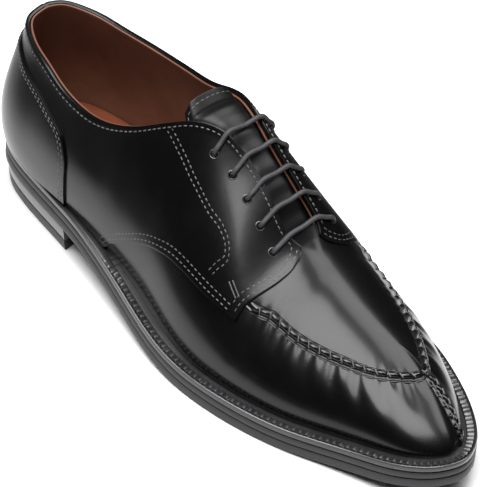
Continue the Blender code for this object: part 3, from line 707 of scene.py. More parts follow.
def cut_eyelets(piece):
    cutters = []
    for side in (-1, 1):
        for share in EYELETS:
            place, up = eyelet_spot(side, share)[:2]
            deselect()
            bpy.ops.mesh.primitive_cylinder_add(
                vertices=28, radius=EYELET_HOLE / 2, depth=0.009, location=place,
                rotation=Vector(up).to_track_quat("Z", "Y").to_euler())
            cutters.append(bpy.context.object)
    cutter = joined(cutters)
    apply_modifier(piece, "BOOLEAN", object=cutter, operation="DIFFERENCE", solver="EXACT")
    bpy.data.objects.remove(cutter)


def make_counter(sizes):
    a = np.linspace(-1, 1, 241)
    w = np.linspace(0, 1, 52)
    aa, ww = np.meshgrid(a, w)
    path = COUNTER[::-1]
    along = arc(path * PLANE)
    share = np.abs(aa) * along[-1]
    top_t = np.interp(share, along, path[:, 0])
    top_v = np.interp(share, along, path[:, 1])
    base_t = np.abs(aa) * path[-1, 0]
    t = base_t + (top_t - base_t) * ww
    v = top_v * ww
    off = 2 * PANEL + soft(t, v, 2.0, 0.00008)
    places = shell(np.where(aa < 0, -1, 1), t, v, off)
    places[0, :, 2] -= FOOT_TUCK
    piece = thickened(woven("counter", places), PANEL - HAIR, rim=1)
    return dressed(piece, ("calf", "cut_edge"), ["upper"])


SEAM_FINE = np.linspace(T_CORNER - 0.02, 2.02 - T_CORNER, 900)
SEAM_ALONG = arc(shell(-1, SEAM_FINE, apron_v(SEAM_FINE), 0.0))


def seam_length(t):
    # metres along the apron seam
    return np.interp(t, SEAM_FINE, SEAM_ALONG)


def toe_span(v):
    # metres along the wall for a whole step of t, beside the toe seam
    return np.linalg.norm(shell(-1, 1 - FINE, v, 0) - shell(-1, 1 - 2 * FINE, v, 0), axis=-1) / FINE


TOE_LIP = 0.0017
TOE_PITCH = 0.0050
# share of length, share of the wall, half width and depth of each crease
VAMP_CREASES = (
    (0.660, 0.34, 0.010, -0.00022), (0.672, 0.30, 0.009, 0.00018), (0.690, 0.38, 0.010, -0.00020),
    (0.705, 0.33, 0.008, 0.00015), (0.722, 0.40, 0.009, -0.00015),
)


def make_vamp(sizes):
    start = T_QUARTER - 0.03
    s = np.linspace(-1, 1, 561)
    reach = 1 - start
    q = 1 + np.sign(s) * reach * (0.35 * np.abs(s) + 0.65 * s * s)
    w = np.linspace(0, 1, 58)
    qq, ww = np.meshgrid(q, w)
    top = apron_v(qq)
    v = top * ww
    along = seam_length(qq)
    below = (top - v) * WALL_RISE
    pucker = np.cos(2 * math.pi * along / sizes.pucker_pitch)
    fade = np.clip((np.minimum(qq, 2 - qq) - T_CORNER) / 0.04, 0, 1)
    off = fade * sizes.pucker_depth * 0.5 * (pucker - 0.6) * np.exp(-below / 0.0036)
    wide = np.exp(-((below - 0.009) / 0.006) ** 2)
    off = off + fade * 0.00022 * np.cos(2 * math.pi * along / 0.0125 + 1.3 * np.sin(along * 90)) * wide
    off = off + soft(qq, v, 3.0, 0.00005)
    # two turned lips stand beside the toe seam
    span = toe_span(v[:, :1])
    gap = np.abs(qq - 1) * span
    down = arc(shell(-1, 0.9999, v[:, 280], 0.0))[:, None]
    ripple = 0.72 + 0.28 * np.cos(2 * math.pi * down / TOE_PITCH)
    off = off + TOE_LIP * ripple * bump(gap, 0.0017, 0.0018) - 0.0010 * bump(gap, 0.0, 0.0008)
    for share, height, half, depth in VAMP_CREASES:
        middle = float(t_of(share)) + 0.10 * (v - height)
        off = off + depth * bump(np.minimum(qq, 2 - qq), middle, half) * bump(v, height, 0.20)
    places = shell(-1, qq, v, off)
    places[0, :, 2] -= FOOT_TUCK
    piece = thickened(woven("vamp", places), 0.0010, edge=0)
    return dressed(piece, "calf", ["upper"])


def arched(near, far, back, reach_share, count):
    # a line up one side, in a smooth arch over the gap and down the other side
    near_way = near[-1] - near[-back]
    far_way = far[-1] - far[-back]
    reach = np.linalg.norm(near[-1] - far[-1]) * reach_share
    a = near[-1] + near_way / np.linalg.norm(near_way) * reach
    b = far[-1] + far_way / np.linalg.norm(far_way) * reach
    k = np.linspace(0, 1, count)[1:-1, None]
    arch = (1 - k) ** 3 * near[-1] + 3 * k * (1 - k) ** 2 * a + 3 * k * k * (1 - k) * b + k ** 3 * far[-1]
    return np.concatenate([near, arch, far[::-1]])


def across_rows(starts, low, depth, columns, dip=None):
    # rows over both sides, from the height low gives up, over the slot or ridge, and down again
    rows = []
    for t in starts:
        v = np.linspace(float(low(t)), 1.0, 70)
        off = np.full(70, depth) if dip is None else depth + dip(t, v)
        near = shell(-1, t, v, off)
        far = shell(1, t, v, off)
        if t < T_THROAT - 1e-6:
            line = arched(near, far, 4, 0.25, 24)
        else:
            line = np.concatenate([near, far[::-1][1:]])
        rows.append(resampled(line, columns))
    return np.array(rows)


# share of length, half width and depth of each crease
APRON_CREASES = ((0.700, 0.010, -0.00018), (0.716, 0.009, 0.00012), (0.735, 0.012, -0.00012))


def make_apron(sizes):
    first = float(t_of(0.648))
    starts = first + (1 - first) * np.linspace(0, 1, 150)

    def dimple(t, v):
        below = (v - apron_v(t)) * APRON_RISE
        along = seam_length(np.array([t]))[0]
        wave = np.cos(2 * math.pi * along / sizes.pucker_pitch)
        edge = 0.0002 * (wave - 1.0) * np.exp(-below / 0.0022)
        crease = sum(depth * bump(t, float(t_of(share)), half) * bump(v, 1.0, 0.34)
                     for share, half, depth in APRON_CREASES)
        return edge + crease + soft(np.array(t), v, 4.0, 0.00003)

    places = across_rows(starts, lambda t: min(float(apron_v(t)) + 0.012, 0.999), 0.0002, 120, dimple)
    weight = np.exp(-(np.arange(-8, 9) / 4.0) ** 2)
    weight /= weight.sum()
    eased_rows = places.copy()
    for i in range(8, len(starts) - 30):
        eased_rows[i] = np.tensordot(weight, places[i - 8:i + 9], axes=1)
    # only the middle is eased, so that the puckers beside the seam stay
    middle = bump(np.linspace(-1, 1, 120), 0.0, 0.95)[None, :, None]
    places = places + (eased_rows - places) * np.minimum(1, middle * 2)
    piece = thickened(woven("apron", places), 0.0009, edge=0)
    return dressed(piece, "calf", ["upper"])


# section of the sewn apron seam: place across in mm (toward the apron) and height in mm
SEAM_SECTION = (
    (-2.7, -0.30), (-2.4, 0.25), (-2.1, 0.62), (-1.75, 0.66), (-1.45, 0.20), (-1.2, -0.05), (-1.0, 0.30),
    (-0.85, 1.05), (-0.4, 1.70), (0.2, 2.00), (0.85, 1.90), (1.40, 1.45), (1.8, 0.85), (2.05, 0.30),
    (2.25, 0.00), (2.5, 0.26), (2.8, 0.30), (3.1, -0.20),
)


def seam_place(q, across, off):
    v = apron_v(q)
    rise = rise_at(-1, q, v)
    return shell(-1, q, v + across / rise, off)


def make_apron_seam(sizes):
    ends = T_CORNER - 0.012
    fine = np.linspace(ends, 2 - ends, 1200)
    along = arc(shell(-1, fine, apron_v(fine), 0.0))
    q = np.interp(np.linspace(0, along[-1], 600), along, fine)
    rows = []
    scallop = np.abs(np.sin(math.pi * seam_length(q) / sizes.pucker_pitch)) ** 0.7
    # the strip comes out flat from under the quarter
    hidden, clear = [float(t_of(share)) for share in (0.650, 0.668)]
    tuck = np.clip((np.minimum(q, 2 - q) - hidden) / (clear - hidden), 0, 1)
    for across, height in SEAM_SECTION:
        roll = bump(across, 0.3, 2.0)
        high = height * (1 - roll * 0.60 * (1 - scallop)) * (0.25 + 0.75 * tuck)
        pull = 0.55 * bump(across, -0.9, 1.1) - 0.25 * bump(across, 1.5, 1.0)
        slide = across + (1 - scallop) * pull
        rows.append(seam_place(q, np.full(len(q), 1.0) * slide * 0.001, high * 0.001))
    piece = woven("apron_seam", np.array(rows))
    dressed(piece, "calf_seam", ["upper"])
    # waxed thread over the roll in every valley, and a long stitch on the lip below
    spots = []
    places = []
    fine_length = seam_length(fine)
    for number in range(int(fine_length[-1] / sizes.pucker_pitch)):
        middle = number * sizes.pucker_pitch
        here = np.interp(middle, fine_length, fine)
        if min(here, 2 - here) < t_of(0.664):
            continue
        ahead = np.interp(middle + 0.0012, fine_length, fine)
        low = seam_place(np.array([ahead]), np.array([-0.0013]), 0.0006)[0]
        high = seam_place(np.array([here]), np.array([0.0019]), 0.0006)[0]
        peak = seam_place(np.array([(here + ahead) / 2]), np.array([0.0003]), 0.0014)[0]
        up = peak - (low + high) / 2
        spots.append((turned(high - low, up), peak + up / np.linalg.norm(up) * 0.0001))
        start = np.interp(middle + 0.0004, fine_length, fine)
        stop = np.interp(middle + sizes.pucker_pitch * 0.94, fine_length, fine)
        for across, off in ((-0.0018, 0.00085), (-0.0027, 0.00035)):
            one = seam_place(np.array([start]), np.array([across]), off)[0]
            two = seam_place(np.array([stop]), np.array([across]), off)[0]
            places.append((turned(two - one, up), (one + two) / 2))
    cross = grown(thread_template(*APRON_THREAD), spots, "apron_threads")
    dressed(cross, "thread")
    long = grown(thread_template(*LOCK_THREAD), places, "apron_lock_threads")
    dressed(long, "thread")


def make_toe_seam(sizes):
    v = np.linspace(0.03, 0.62, 300)
    line = shell(-1, 1.0, v, 0.0)
    along = arc(line)
    spots = []
    span = toe_span(v)
    for number in range(int(along[-1] / TOE_PITCH)):
        for lean in (-1, 1):
            at = np.interp((number + 0.5) * TOE_PITCH, along, v)
            wide = 0.0019 / np.interp(at, v, span)
            q = 1 + lean * wide
            one = shell(-1, q, at - 0.02, TOE_LIP + 0.0001)
            two = shell(-1, q, at + 0.02, TOE_LIP + 0.0001)
            up = shell(-1, q, at, 0.002) - shell(-1, q, at, 0.0)
            spots.append((turned(two - one, up), shell(-1, q, at, TOE_LIP * 0.97)))
            # a thread ties each lip across the seam
            near = shell(-1, 1 + lean * wide * 0.2, at - 0.018, TOE_LIP * 0.5)
            away = shell(-1, 1 + lean * wide * 2.0, at + 0.018, TOE_LIP * 0.4)
            lifted = up / np.linalg.norm(up) * TOE_LIP * 0.55
            spots.append((turned(away - near, up), (near + away) / 2 + lifted))
    piece = grown(thread_template(*APRON_THREAD), spots, "toe_threads")
    dressed(piece, "thread")


def make_lining(sizes):
    q = np.linspace(-1, 1, 281)
    w = np.linspace(0, 1, 46)
    qq, ww = np.meshgrid(q, w)
    t = np.abs(qq) * (T_THROAT - 0.002)
    wall = soft(t, ww, 5.0, 0.00006) - LINING_OUT - HAIR
    places = shell(np.where(qq < 0, -1, 1), t, ww, wall)
    piece = thickened(woven("lining", places), LINING_WALL, edge=0.0002, rim=1)
    cut_eyelets(piece)
    dressed(piece, ("lining", "raw_edge"), ["upper"])
    starts = np.linspace(T_THROAT, 1, 60)
    places = across_rows(starts, lambda t: 0.0, -0.0013, 90)
    piece = thickened(woven("toe_lining", places), 0.0007, edge=0)
    dressed(piece, "lining", ["upper"])


def make_insole(sizes):
    low = WELT_TOP + 0.0001
    inset = WALL + 0.0013
    top = WELT_TOP + INSOLE
    section = ((0.0, 0.0, low), (0.5, 0.0, low), (1.0, 0.0005, low), (1.0, 0.0, low + 0.0006),
               (1.0, 0.0, top - 0.0008), (1.0, 0.0002, top - 0.0002), (1.0, 0.0008, top),
               (1.0, 0.003, top - 0.0001), (0.8, 0.0, top - 0.0003), (0.6, 0.0, top - 0.0005),
               (0.4, 0.0, top - 0.0006), (0.2, 0.0, top - 0.0006), (0.0, 0.0, top - 0.0006))
    profile = [(share, inset + extra, True, height) for share, extra, height in section]
    piece = slab_piece("insole_sock", profile, 301)
    dressed(piece, "sock", ["insole"])


TONGUE_CLEAR = WALL + 0.0006
TONGUE_DIP = 0.0022
TONGUE_FROM = 0.760
TONGUE_TO = 0.452
TONGUE_POINTS = 80
TONGUE_ARCH = 30
# stitched hem of the tongue: way from the edge, height on the free top and stitch pitch
HEM_INSET = 0.0025
HEM_TOP = 0.62
HEM_PITCH = 0.0030


@functools.lru_cache(maxsize=None)
def tongue_line(share, depth):
    t = float(t_of(share))
    v = np.linspace(0.30, 1.0, TONGUE_POINTS)
    near = shell(-1, t, v, -depth)
    far = shell(1, t, v, -depth)
    if t < T_THROAT:
        line = arched(near, far, 3, 0.22, TONGUE_ARCH)
        middle = TONGUE_POINTS + TONGUE_ARCH // 2 - 1
    else:
        line = np.concatenate([near, far[::-1][1:]])
        middle = TONGUE_POINTS - 1
    along = arc(line)
    return line, along - along[middle]


def tongue_row(u, k, depth, columns, inset=0.0):
    # u runs 0 to 1 up the tongue, k 0 to 1 over its free top
    share = TONGUE_FROM + (TONGUE_TO - TONGUE_FROM) * u
    dip = TONGUE_DIP * math.exp(-((share - THROAT + 0.010) / 0.045) ** 2)
    line, along = tongue_line(share, TONGUE_CLEAR + depth + dip + TONGUE_LEAN * k)
    half = TONGUE_HALF_FOOT + (TONGUE_HALF_TOP - TONGUE_HALF_FOOT) * u
    half = half + (TONGUE_HALF_TIP - TONGUE_HALF_TOP) * k - inset
    want = np.linspace(-half, half, columns)
    row = np.stack([np.interp(want, along, line[:, i]) for i in range(3)], axis=1)
    return row + np.array([-TONGUE_BACK * k, 0.0, TONGUE_RISE * k])


def make_tongue(sizes):
    rows = [tongue_row(u, 0.0, 0.00035 * math.sin(u * 40) ** 2, 49) for u in np.linspace(0, 1, 70)]
    rows += [tongue_row(1.0, k, 0.0, 49) for k in np.linspace(0.1, 1, 10)]
    piece = thickened(woven("tongue_sheet", np.array(rows)), TONGUE_WALL - 0.0002, edge=0.0003, rim=1)
    dressed(piece, ("tongue_calf", "raw_edge"), ["tongue"])
    # a stitched hem runs just inside the sides and the top
    ways = [(u, 0.0) for u in np.linspace(0.45, 1, 60)] + [(1.0, k) for k in np.linspace(0.05, HEM_TOP, 12)]
    sides = np.array([tongue_row(u, k, 0.0, 3, HEM_INSET)[[0, 2]] for u, k in ways])
    line = np.concatenate([sides[:, 0], tongue_row(1.0, HEM_TOP, 0.0, 40, HEM_INSET)[1:-1], sides[::-1, 1]])
    along = arc(line)
    spots = []
    up = np.array([-0.25, 0.0, 1.0])
    for number in range(int(along[-1] / HEM_PITCH)):
        middle = (number + 0.5) * HEM_PITCH
        one, two = [np.array([np.interp(middle + step, along, line[:, k]) for k in range(3)])
                    for step in (-5e-4, 5e-4)]
        spots.append((turned(two - one, up), (one + two) / 2 + np.array([0, 0, 0.0001])))
    piece = grown(thread_template(*HEM_THREAD), spots, "tongue_threads")
    dressed(piece, "thread")


def lace_end(side, share, lift):
    # knots from inside an eyelet out, along the facing and up to its edge
    place, up, line = eyelet_spot(side, share)
    edge_up = skin_normal(np.array([side]), np.array([float(t_of(share))]), np.array([1.0]))[0]
    top = line[-1] + edge_up * lift
    way = (top - place) / np.linalg.norm(top - place)
    return [place - up * 0.0042 + way * 0.0010, place - up * 0.0012, place + up * 0.0006 + way * 0.0004,
            place + up * lift + way * 0.0022, (place + top) / 2 + up * (lift * 0.5 + 0.0001), top]


def make_laces(sizes):
    radius = LACE_WIDTH / 2
    for number, share in enumerate(EYELETS):
        near = lace_end(-1, share, radius + 0.0002)
        far = lace_end(1, share, radius + 0.0002)
        crown = (near[-1] + far[-1]) / 2 - np.array([0.0, 0.0, 0.0002])
        knots = np.array([*near, crown, *far[::-1]])
        along = arc(knots)
        want = np.linspace(0, along[-1], 110)
        line = np.stack([hermite(along, knots[:, k], want) for k in range(3)], axis=1)
        label = number + 1
        tube_piece("lace_%d" % label, line, radius, "waxed_lace", ["lace_bar_%d" % label])


def tube_piece(name, line, radius, look, nodes=(), around=20):
    rings = []
    for i, point in enumerate(line):
        way = line[min(i + 1, len(line) - 1)] - line[max(i - 1, 0)]
        way /= np.linalg.norm(way)
        side = np.cross(way, np.array([0.35, 0.0, 1.0]))
        side /= np.linalg.norm(side)
        up = np.cross(side, way)
        angle = np.linspace(0, 2 * math.pi, around + 1)[:, None]
        size = radius * (0.02 if i in (0, len(line) - 1) else 1.0)
        rings.append(point + size * (np.cos(angle) * side + np.sin(angle) * up * 0.92))
    piece = woven(name, np.array(rings), closed=True, weld=4e-5)
    return dressed(piece, look, nodes, angle=60)


def make_eyelet_rims(sizes):
    rims = []
    for side in (-1, 1):
        for share in EYELETS:
            place, up = eyelet_spot(side, share)[:2]
            deselect()
            bpy.ops.mesh.primitive_torus_add(
                major_segments=28, minor_segments=8, major_radius=EYELET_HOLE / 2 + 0.00018,
                minor_radius=0.00032, location=place + up * 0.00002,
                rotation=Vector(up).to_track_quat("Z", "Y").to_euler())
            rims.append(bpy.context.object)
    piece = joined(rims)
    bpy.ops.object.transform_apply(location=True, rotation=True, scale=True)
    piece.name = "eyelet_rims"
    dressed(piece, "eyelet")


# double row down inside the facing: share of length, share of the wall
INNER_FACING = (
    (0.424, 0.957), (0.464, 0.800), (0.501, 0.690), (0.538, 0.643), (0.567, 0.640), (0.583, 0.620),
    (0.591, 0.577), (0.583, 0.510), (0.574, 0.437),
)
# places t and v well inside the quarter and the counter
QUARTER_MIDDLE = (0.25, 1.0)
COUNTER_MIDDLE = (0.05, 0.2)
# ends of the two short bar tacks at the quarter's corner
BAR_TACKS = (((0.610, 0.516), (0.631, 0.492)), ((0.614, 0.537), (0.635, 0.513)))


def make_stitches(sizes):
    spots = []
    pitch = sizes.stitch_pitch
    lower = LOWER[LOWER[:, 1] > 0.02]
    order = np.argsort(FRONT[:, 1])
    for side in (-1, 1):
        for away in (0.0020, 0.0042):
            low_row = inward(lower, away, QUARTER_MIDDLE)
            low_row = low_row[low_row[:, 0] < T_CORNER - away * 2.0]
            front_row = inward(FRONT[order], away, QUARTER_MIDDLE)
            front_row = front_row[front_row[:, 1] > CORNER_V + away * 12.0]
            spots += row_of_stitches(side, low_row, PANEL, pitch)
            spots += row_of_stitches(side, front_row, PANEL, pitch)
        for tack in BAR_TACKS:
            spots += row_of_stitches(side, smooth_path(tack, 0.0005), PANEL + 0.0001, 0.0013)
        for away in (0.0018, 0.0038):
            path = inward(COUNTER[COUNTER[:, 1] > 0.02], away, COUNTER_MIDDLE)
            path = path[path[:, 0] > 0]
            spots += row_of_stitches(side, path, 2 * PANEL, pitch)
        # along the top line and down the facing
        t = np.linspace(0.0, T_THROAT * 0.955, 500)
        rise = rise_at(side, t, np.full(500, 0.97))
        path = np.stack([t, 1 - 0.0026 / rise], axis=1)
        spots += row_of_stitches(side, path, PANEL + 0.00022, pitch)
        inner = smooth_path(INNER_FACING, PATH_STEP)
        for away in (-0.0010, 0.0010):
            spots += row_of_stitches(side, moved_path(inner, away), PANEL, pitch)
    piece = grown(thread_template(sizes.stitch_length, sizes.thread / 2), spots, "seam_threads")
    dressed(piece, "thread")


def inward(path, amount, middle):
    # a path moved into its own panel, towards the panel's middle
    one = moved_path(path, amount)
    two = moved_path(path, -amount)
    gap_one, gap_two = [np.linalg.norm((way - middle) * PLANE, axis=1).sum() for way in (one, two)]
    return one if gap_one < gap_two else two


def rounded(low, high, edge):
    # inset and height of the rounded edges of a layer, from its underside to its top
    under = [(edge, low), (edge * 0.3, low + edge * 0.3), (0.0, low + edge)]
    return under, [(inset, low + high - z) for inset, z in reversed(under)]


def sole_layer(low, high):
    under, over = rounded(low, high, SOLE_EDGE)
    rim = [(0.0030, low), *under, (-0.0001, (low + high) / 2), *over, (0.0030, high)]
    flat, top = [[(share, 0.0, False, level) for share in (0.0, 0.6)] for level in (low, high)]
    return flat + [(1.0, inset, False, z) for inset, z in rim] + top[::-1]


SOLE_EDGE = 0.0008
HEEL_EDGE = 0.0007


def make_soles(sizes):
    piece = slab_piece("outsole_leather", sole_layer(0.0, OUTSOLE - 0.0001), 501)
    dressed(piece, "sole_edge", ["outsole"])
    low = OUTSOLE + 0.0001
    piece = slab_piece("midsole_leather", sole_layer(low, low + MIDSOLE + 0.0002), 501)
    dressed(piece, "sole_edge", ["midsole"])
    heel_piece("top_lift", 0.0, TOP_PIECE, "heel_rubber", "top_piece")
    heel_piece("heel_lifts", TOP_PIECE + 0.0001, HEEL_BLOCK - 0.0001, "heel_edge", "heel_stack")
    make_welt(sizes)


def heel_piece(name, low, high, look, node):
    last = float(t_of(BREAST - 0.004))
    half = np.linspace(0, last, 400)
    rows = []
    along = arc(sole_edge(half, 0.0)[0])
    t = np.interp(np.linspace(0, along[-1], 90), along, half)
    under, over = rounded(low, high, HEEL_EDGE)
    # the heel tapers a little towards the floor
    profile = []
    for level, rim in ((low, under), (high, over)):
        taper = 0.0010 + 0.0016 * (1 - level / HEEL_BLOCK)
        flat = [(0.0, taper, level), (0.6, taper, level)]
        edge = [(1.0, inset + taper, z) for inset, z in rim]
        profile += flat + edge if level == low else edge + flat[::-1]
    for share, gap, z in profile:
        lateral, medial = [sole_edge(q, gap)[0] for q in (t, 2 - t)]
        cross = np.linspace(0, 1, 30)[1:-1, None]
        # the breast is a shallow hollow curve
        breast = lateral[-1] + (medial[-1] - lateral[-1]) * cross
        breast[:, 0] -= 0.0035 * np.sin(math.pi * cross[:, 0])
        ring = np.concatenate([lateral, breast, medial[::-1]])
        middle = np.array([0.036, ring[:, 1].mean()])
        flat = middle + (ring - middle) * share
        rows.append(np.stack([flat[:, 0], flat[:, 1], np.full(len(flat), z)], axis=1))
    piece = woven(name, np.array(rows) + SHIFT, closed=True)
    dressed(piece, look, [node])


# width of the ledge outside the upper in the fore part
FULL_LEDGE = 0.0056


def make_welt(sizes):
    low = OUTSOLE + MIDSOLE + 0.0005
    high = WELT_TOP
    q = even_q(2001)
    rim = sole_edge(q, 0.0)[0]
    along = arc(rim)
    x = rim[:, 0] / LENGTH
    fade = np.clip((x - 0.33) / 0.10, 0, 1)
    fade = fade * fade * (3 - 2 * fade)
    ridge = np.abs(np.sin(math.pi * along / sizes.ridge_pitch)) ** 0.8
    rows = []
    # inset, whether it counts from the feather line, height, and whether the wheel marks reach it
    section = (
        (0.0060, True, low, 0), (0.0006, False, low, 0), (0.0001, False, low + 0.0005, 0),
        (0.0, False, high - 0.0007, 0), (0.00025, False, high - 0.0001, 0),
        (0.0007, False, high + 0.0001, 0), (0.0011, False, high - 0.0002, 0),
        (0.0014, False, high - 0.0006, 0), (0.0017, False, high - 0.0004, 1),
        (0.0026, False, high - 0.0003, 1), (0.0036, False, high - 0.0003, 1),
        (0.0046, False, high - 0.0004, 1), (0.0050, False, high - 0.0006, 0),
        (0.0006, True, high - 0.0003, 0), (0.0060, True, high - 0.0003, 0),
    )
    for inset, feather, z, ribbed in section:
        edge = sole_edge(q, inset, feather)[0]
        if not feather:
            # a narrow shelf at the waist and heel squeezes the section
            edge = sole_edge(q, np.minimum(inset, inset * ledge(edge[:, 0]) / FULL_LEDGE))[0]
        height = z + (0.0010 * ribbed * fade * ridge)
        rows.append(np.stack([edge[:, 0], edge[:, 1], sole_z(edge[:, 0]) + height], axis=1))
    rows.append(rows[0])
    piece = woven("welt_strip", np.array(rows) + SHIFT, closed=True)
    dressed(piece, "welt_edge", ["welt"])
    spots = []
    for number in range(int(along[-1] / sizes.ridge_pitch)):
        here = (number + 0.5) * sizes.ridge_pitch
        at = np.interp(here, along, q)
        share = np.interp(here, along, fade)
        if share < 0.35:
            continue
        ahead = np.interp(here + 0.0004, along, q)
        room = float(ledge(sole_edge(np.array([at]), 0)[0][0, 0])) / FULL_LEDGE
        inset = min(0.0031, 0.0031 * room)
        one = sole_edge(np.array([at]), inset)[0][0]
        two = sole_edge(np.array([ahead]), inset - 0.0012)[0][0]
        way = np.append(two - one, sole_z(two[0]) - sole_z(one[0]))
        place = np.append(one, sole_z(one[0]) + high + 0.00030) + SHIFT
        spots.append((turned(way, np.array([0.0, 0.0, 1.0])), place))
    piece = grown(thread_template(*WELT_THREAD), spots, "welt_threads")
    dressed(piece, "welt_thread")


# places of the colour sockets on a Mix node
MIX_ONE, MIX_TWO, MIX_OUT = 6, 7, 2


def node(tree, kind, links=None, **settings):
    made = tree.nodes.new(kind)
    for key, value in settings.items():
        setattr(made, key, value)
    for key, value in (links or {}).items():
        socket = made.inputs[key]
        if isinstance(value, bpy.types.NodeSocket):
            tree.links.new(value, socket)
        else:
            socket.default_value = value
    return made


def new_group(name, inputs, outputs):
    tree = bpy.data.node_groups.new(name, "ShaderNodeTree")
    for label, kind, value in inputs:
        socket = tree.interface.new_socket(name=label, in_out="INPUT", socket_type=kind)
        if value is not None:
            socket.default_value = value
    for label, kind in outputs:
        tree.interface.new_socket(name=label, in_out="OUTPUT", socket_type=kind)
    return tree, tree.nodes.new("NodeGroupInput"), tree.nodes.new("NodeGroupOutput")


def math_node(tree, operation, one, two=0.0, clamp=False):
    made = node(tree, "ShaderNodeMath", operation=operation, use_clamp=clamp)
    for socket, value in zip(made.inputs, (one, two)):
        if isinstance(value, bpy.types.NodeSocket):
            tree.links.new(value, socket)
        else:
            socket.default_value = value
    return made.outputs[0]


def make_grain_group():
    # pores of the hide and the slow unevenness under them, as a height and a shade
    tree, given, result = new_group("hide_grain", [
        ("Vector", "NodeSocketVector", None), ("Pore", "NodeSocketFloat", 1500.0),
        ("Crease", "NodeSocketFloat", 0.4)],
        [("Height", "NodeSocketFloat"), ("Shade", "NodeSocketFloat")])
    where = given.outputs["Vector"]
    pores = node(tree, "ShaderNodeTexVoronoi", {"Vector": where, "Scale": given.outputs["Pore"]},
                 feature="SMOOTH_F1")
    slow = node(tree, "ShaderNodeTexNoise", {
        "Vector": where, "Scale": 130.0, "Detail": 5.0, "Roughness": 0.55})
    broad = node(tree, "ShaderNodeTexNoise", {"Vector": where, "Scale": 34.0, "Detail": 3.0})
    fold = math_node(tree, "MULTIPLY", slow.outputs["Fac"], given.outputs["Crease"])
    grain = math_node(tree, "MULTIPLY", pores.outputs["Distance"], 0.30)
    tree.links.new(math_node(tree, "ADD", fold, grain), result.inputs["Height"])
    tree.links.new(broad.outputs["Fac"], result.inputs["Shade"])
    return tree


def make_rub_group():
    # rubbed places that turn a finish a little lighter and duller
    tree, given, result = new_group("rubbing", [
        ("Vector", "NodeSocketVector", None), ("Size", "NodeSocketFloat", 60.0),
        ("Amount", "NodeSocketFloat", 0.5)], [("Mask", "NodeSocketFloat")])
    cloud = node(tree, "ShaderNodeTexNoise", {
        "Vector": given.outputs["Vector"], "Scale": given.outputs["Size"], "Detail": 6.0, "Roughness": 0.7})
    spread = node(tree, "ShaderNodeMapRange", {
        "Value": cloud.outputs["Fac"], "From Min": 0.42, "From Max": 0.72})
    mask = math_node(tree, "MULTIPLY", spread.outputs[0], given.outputs["Amount"])
    tree.links.new(mask, result.inputs["Mask"])
    return tree


def finish_of(name, dark, light, rough, rough_more, pore=1500.0, crease=0.4, lift=0.00008, coat=0.0,
              coat_rough=0.1, rub=0.4, rub_size=60.0, specular=0.5, lines=None, weave=None):
    look = bpy.data.materials.new(name)
    look.use_nodes = True
    tree = look.node_tree
    shader = tree.nodes["Principled BSDF"]
    where = tree.nodes.new("ShaderNodeTexCoord").outputs["Object"]
    grain = node(tree, "ShaderNodeGroup", node_tree=bpy.data.node_groups["hide_grain"])
    tree.links.new(where, grain.inputs["Vector"])
    grain.inputs["Pore"].default_value = pore
    grain.inputs["Crease"].default_value = crease
    worn = node(tree, "ShaderNodeGroup", node_tree=bpy.data.node_groups["rubbing"])
    tree.links.new(where, worn.inputs["Vector"])
    worn.inputs["Size"].default_value = rub_size
    worn.inputs["Amount"].default_value = rub
    mask = math_node(tree, "MULTIPLY", grain.outputs["Shade"], 0.6)
    mask = math_node(tree, "ADD", mask, worn.outputs["Mask"], clamp=True)
    height = grain.outputs["Height"]
    if lines:
        # fine layers or brush marks along one axis of the piece
        axis, scale, depth = lines
        spread = node(tree, "ShaderNodeMapping", {"Vector": where})
        spread.inputs["Scale"].default_value = axis
        streak = node(tree, "ShaderNodeTexNoise", {
            "Vector": spread.outputs[0], "Scale": scale, "Detail": 4.0})
        height = math_node(tree, "ADD", height, math_node(tree, "MULTIPLY", streak.outputs["Fac"], depth))
        share = math_node(tree, "ADD", streak.outputs["Fac"], 0.5)
        mask = math_node(tree, "MULTIPLY", mask, share, clamp=True)
    if weave:
        around, along = weave
        cloth = tree.nodes.new("ShaderNodeTexCoord").outputs["UV"]
        split = node(tree, "ShaderNodeSeparateXYZ", {"Vector": cloth})
        one = math_node(tree, "MULTIPLY", split.outputs[0], around * 2 * math.pi)
        two = math_node(tree, "MULTIPLY", split.outputs[1], along * 2 * math.pi)
        plus = math_node(tree, "SINE", math_node(tree, "ADD", one, two))
        minus = math_node(tree, "SINE", math_node(tree, "SUBTRACT", one, two))
        woven_height = math_node(tree, "MULTIPLY", math_node(tree, "MULTIPLY", plus, minus), 0.8)
        height = math_node(tree, "ADD", height, woven_height)
    tint = node(tree, "ShaderNodeMix", {0: mask}, data_type="RGBA")
    tint.inputs[MIX_ONE].default_value = (*dark, 1.0)
    tint.inputs[MIX_TWO].default_value = (*light, 1.0)
    tree.links.new(tint.outputs[MIX_OUT], shader.inputs["Base Color"])
    gloss = node(tree, "ShaderNodeMapRange", {"Value": mask, "To Min": rough, "To Max": rough + rough_more})
    tree.links.new(gloss.outputs[0], shader.inputs["Roughness"])
    bumped = node(tree, "ShaderNodeBump", {"Height": height, "Strength": 0.6, "Distance": lift})
    tree.links.new(bumped.outputs[0], shader.inputs["Normal"])
    shader.inputs["Coat Weight"].default_value = coat
    shader.inputs["Coat Roughness"].default_value = coat_rough
    shader.inputs["Specular IOR Level"].default_value = specular
    return look


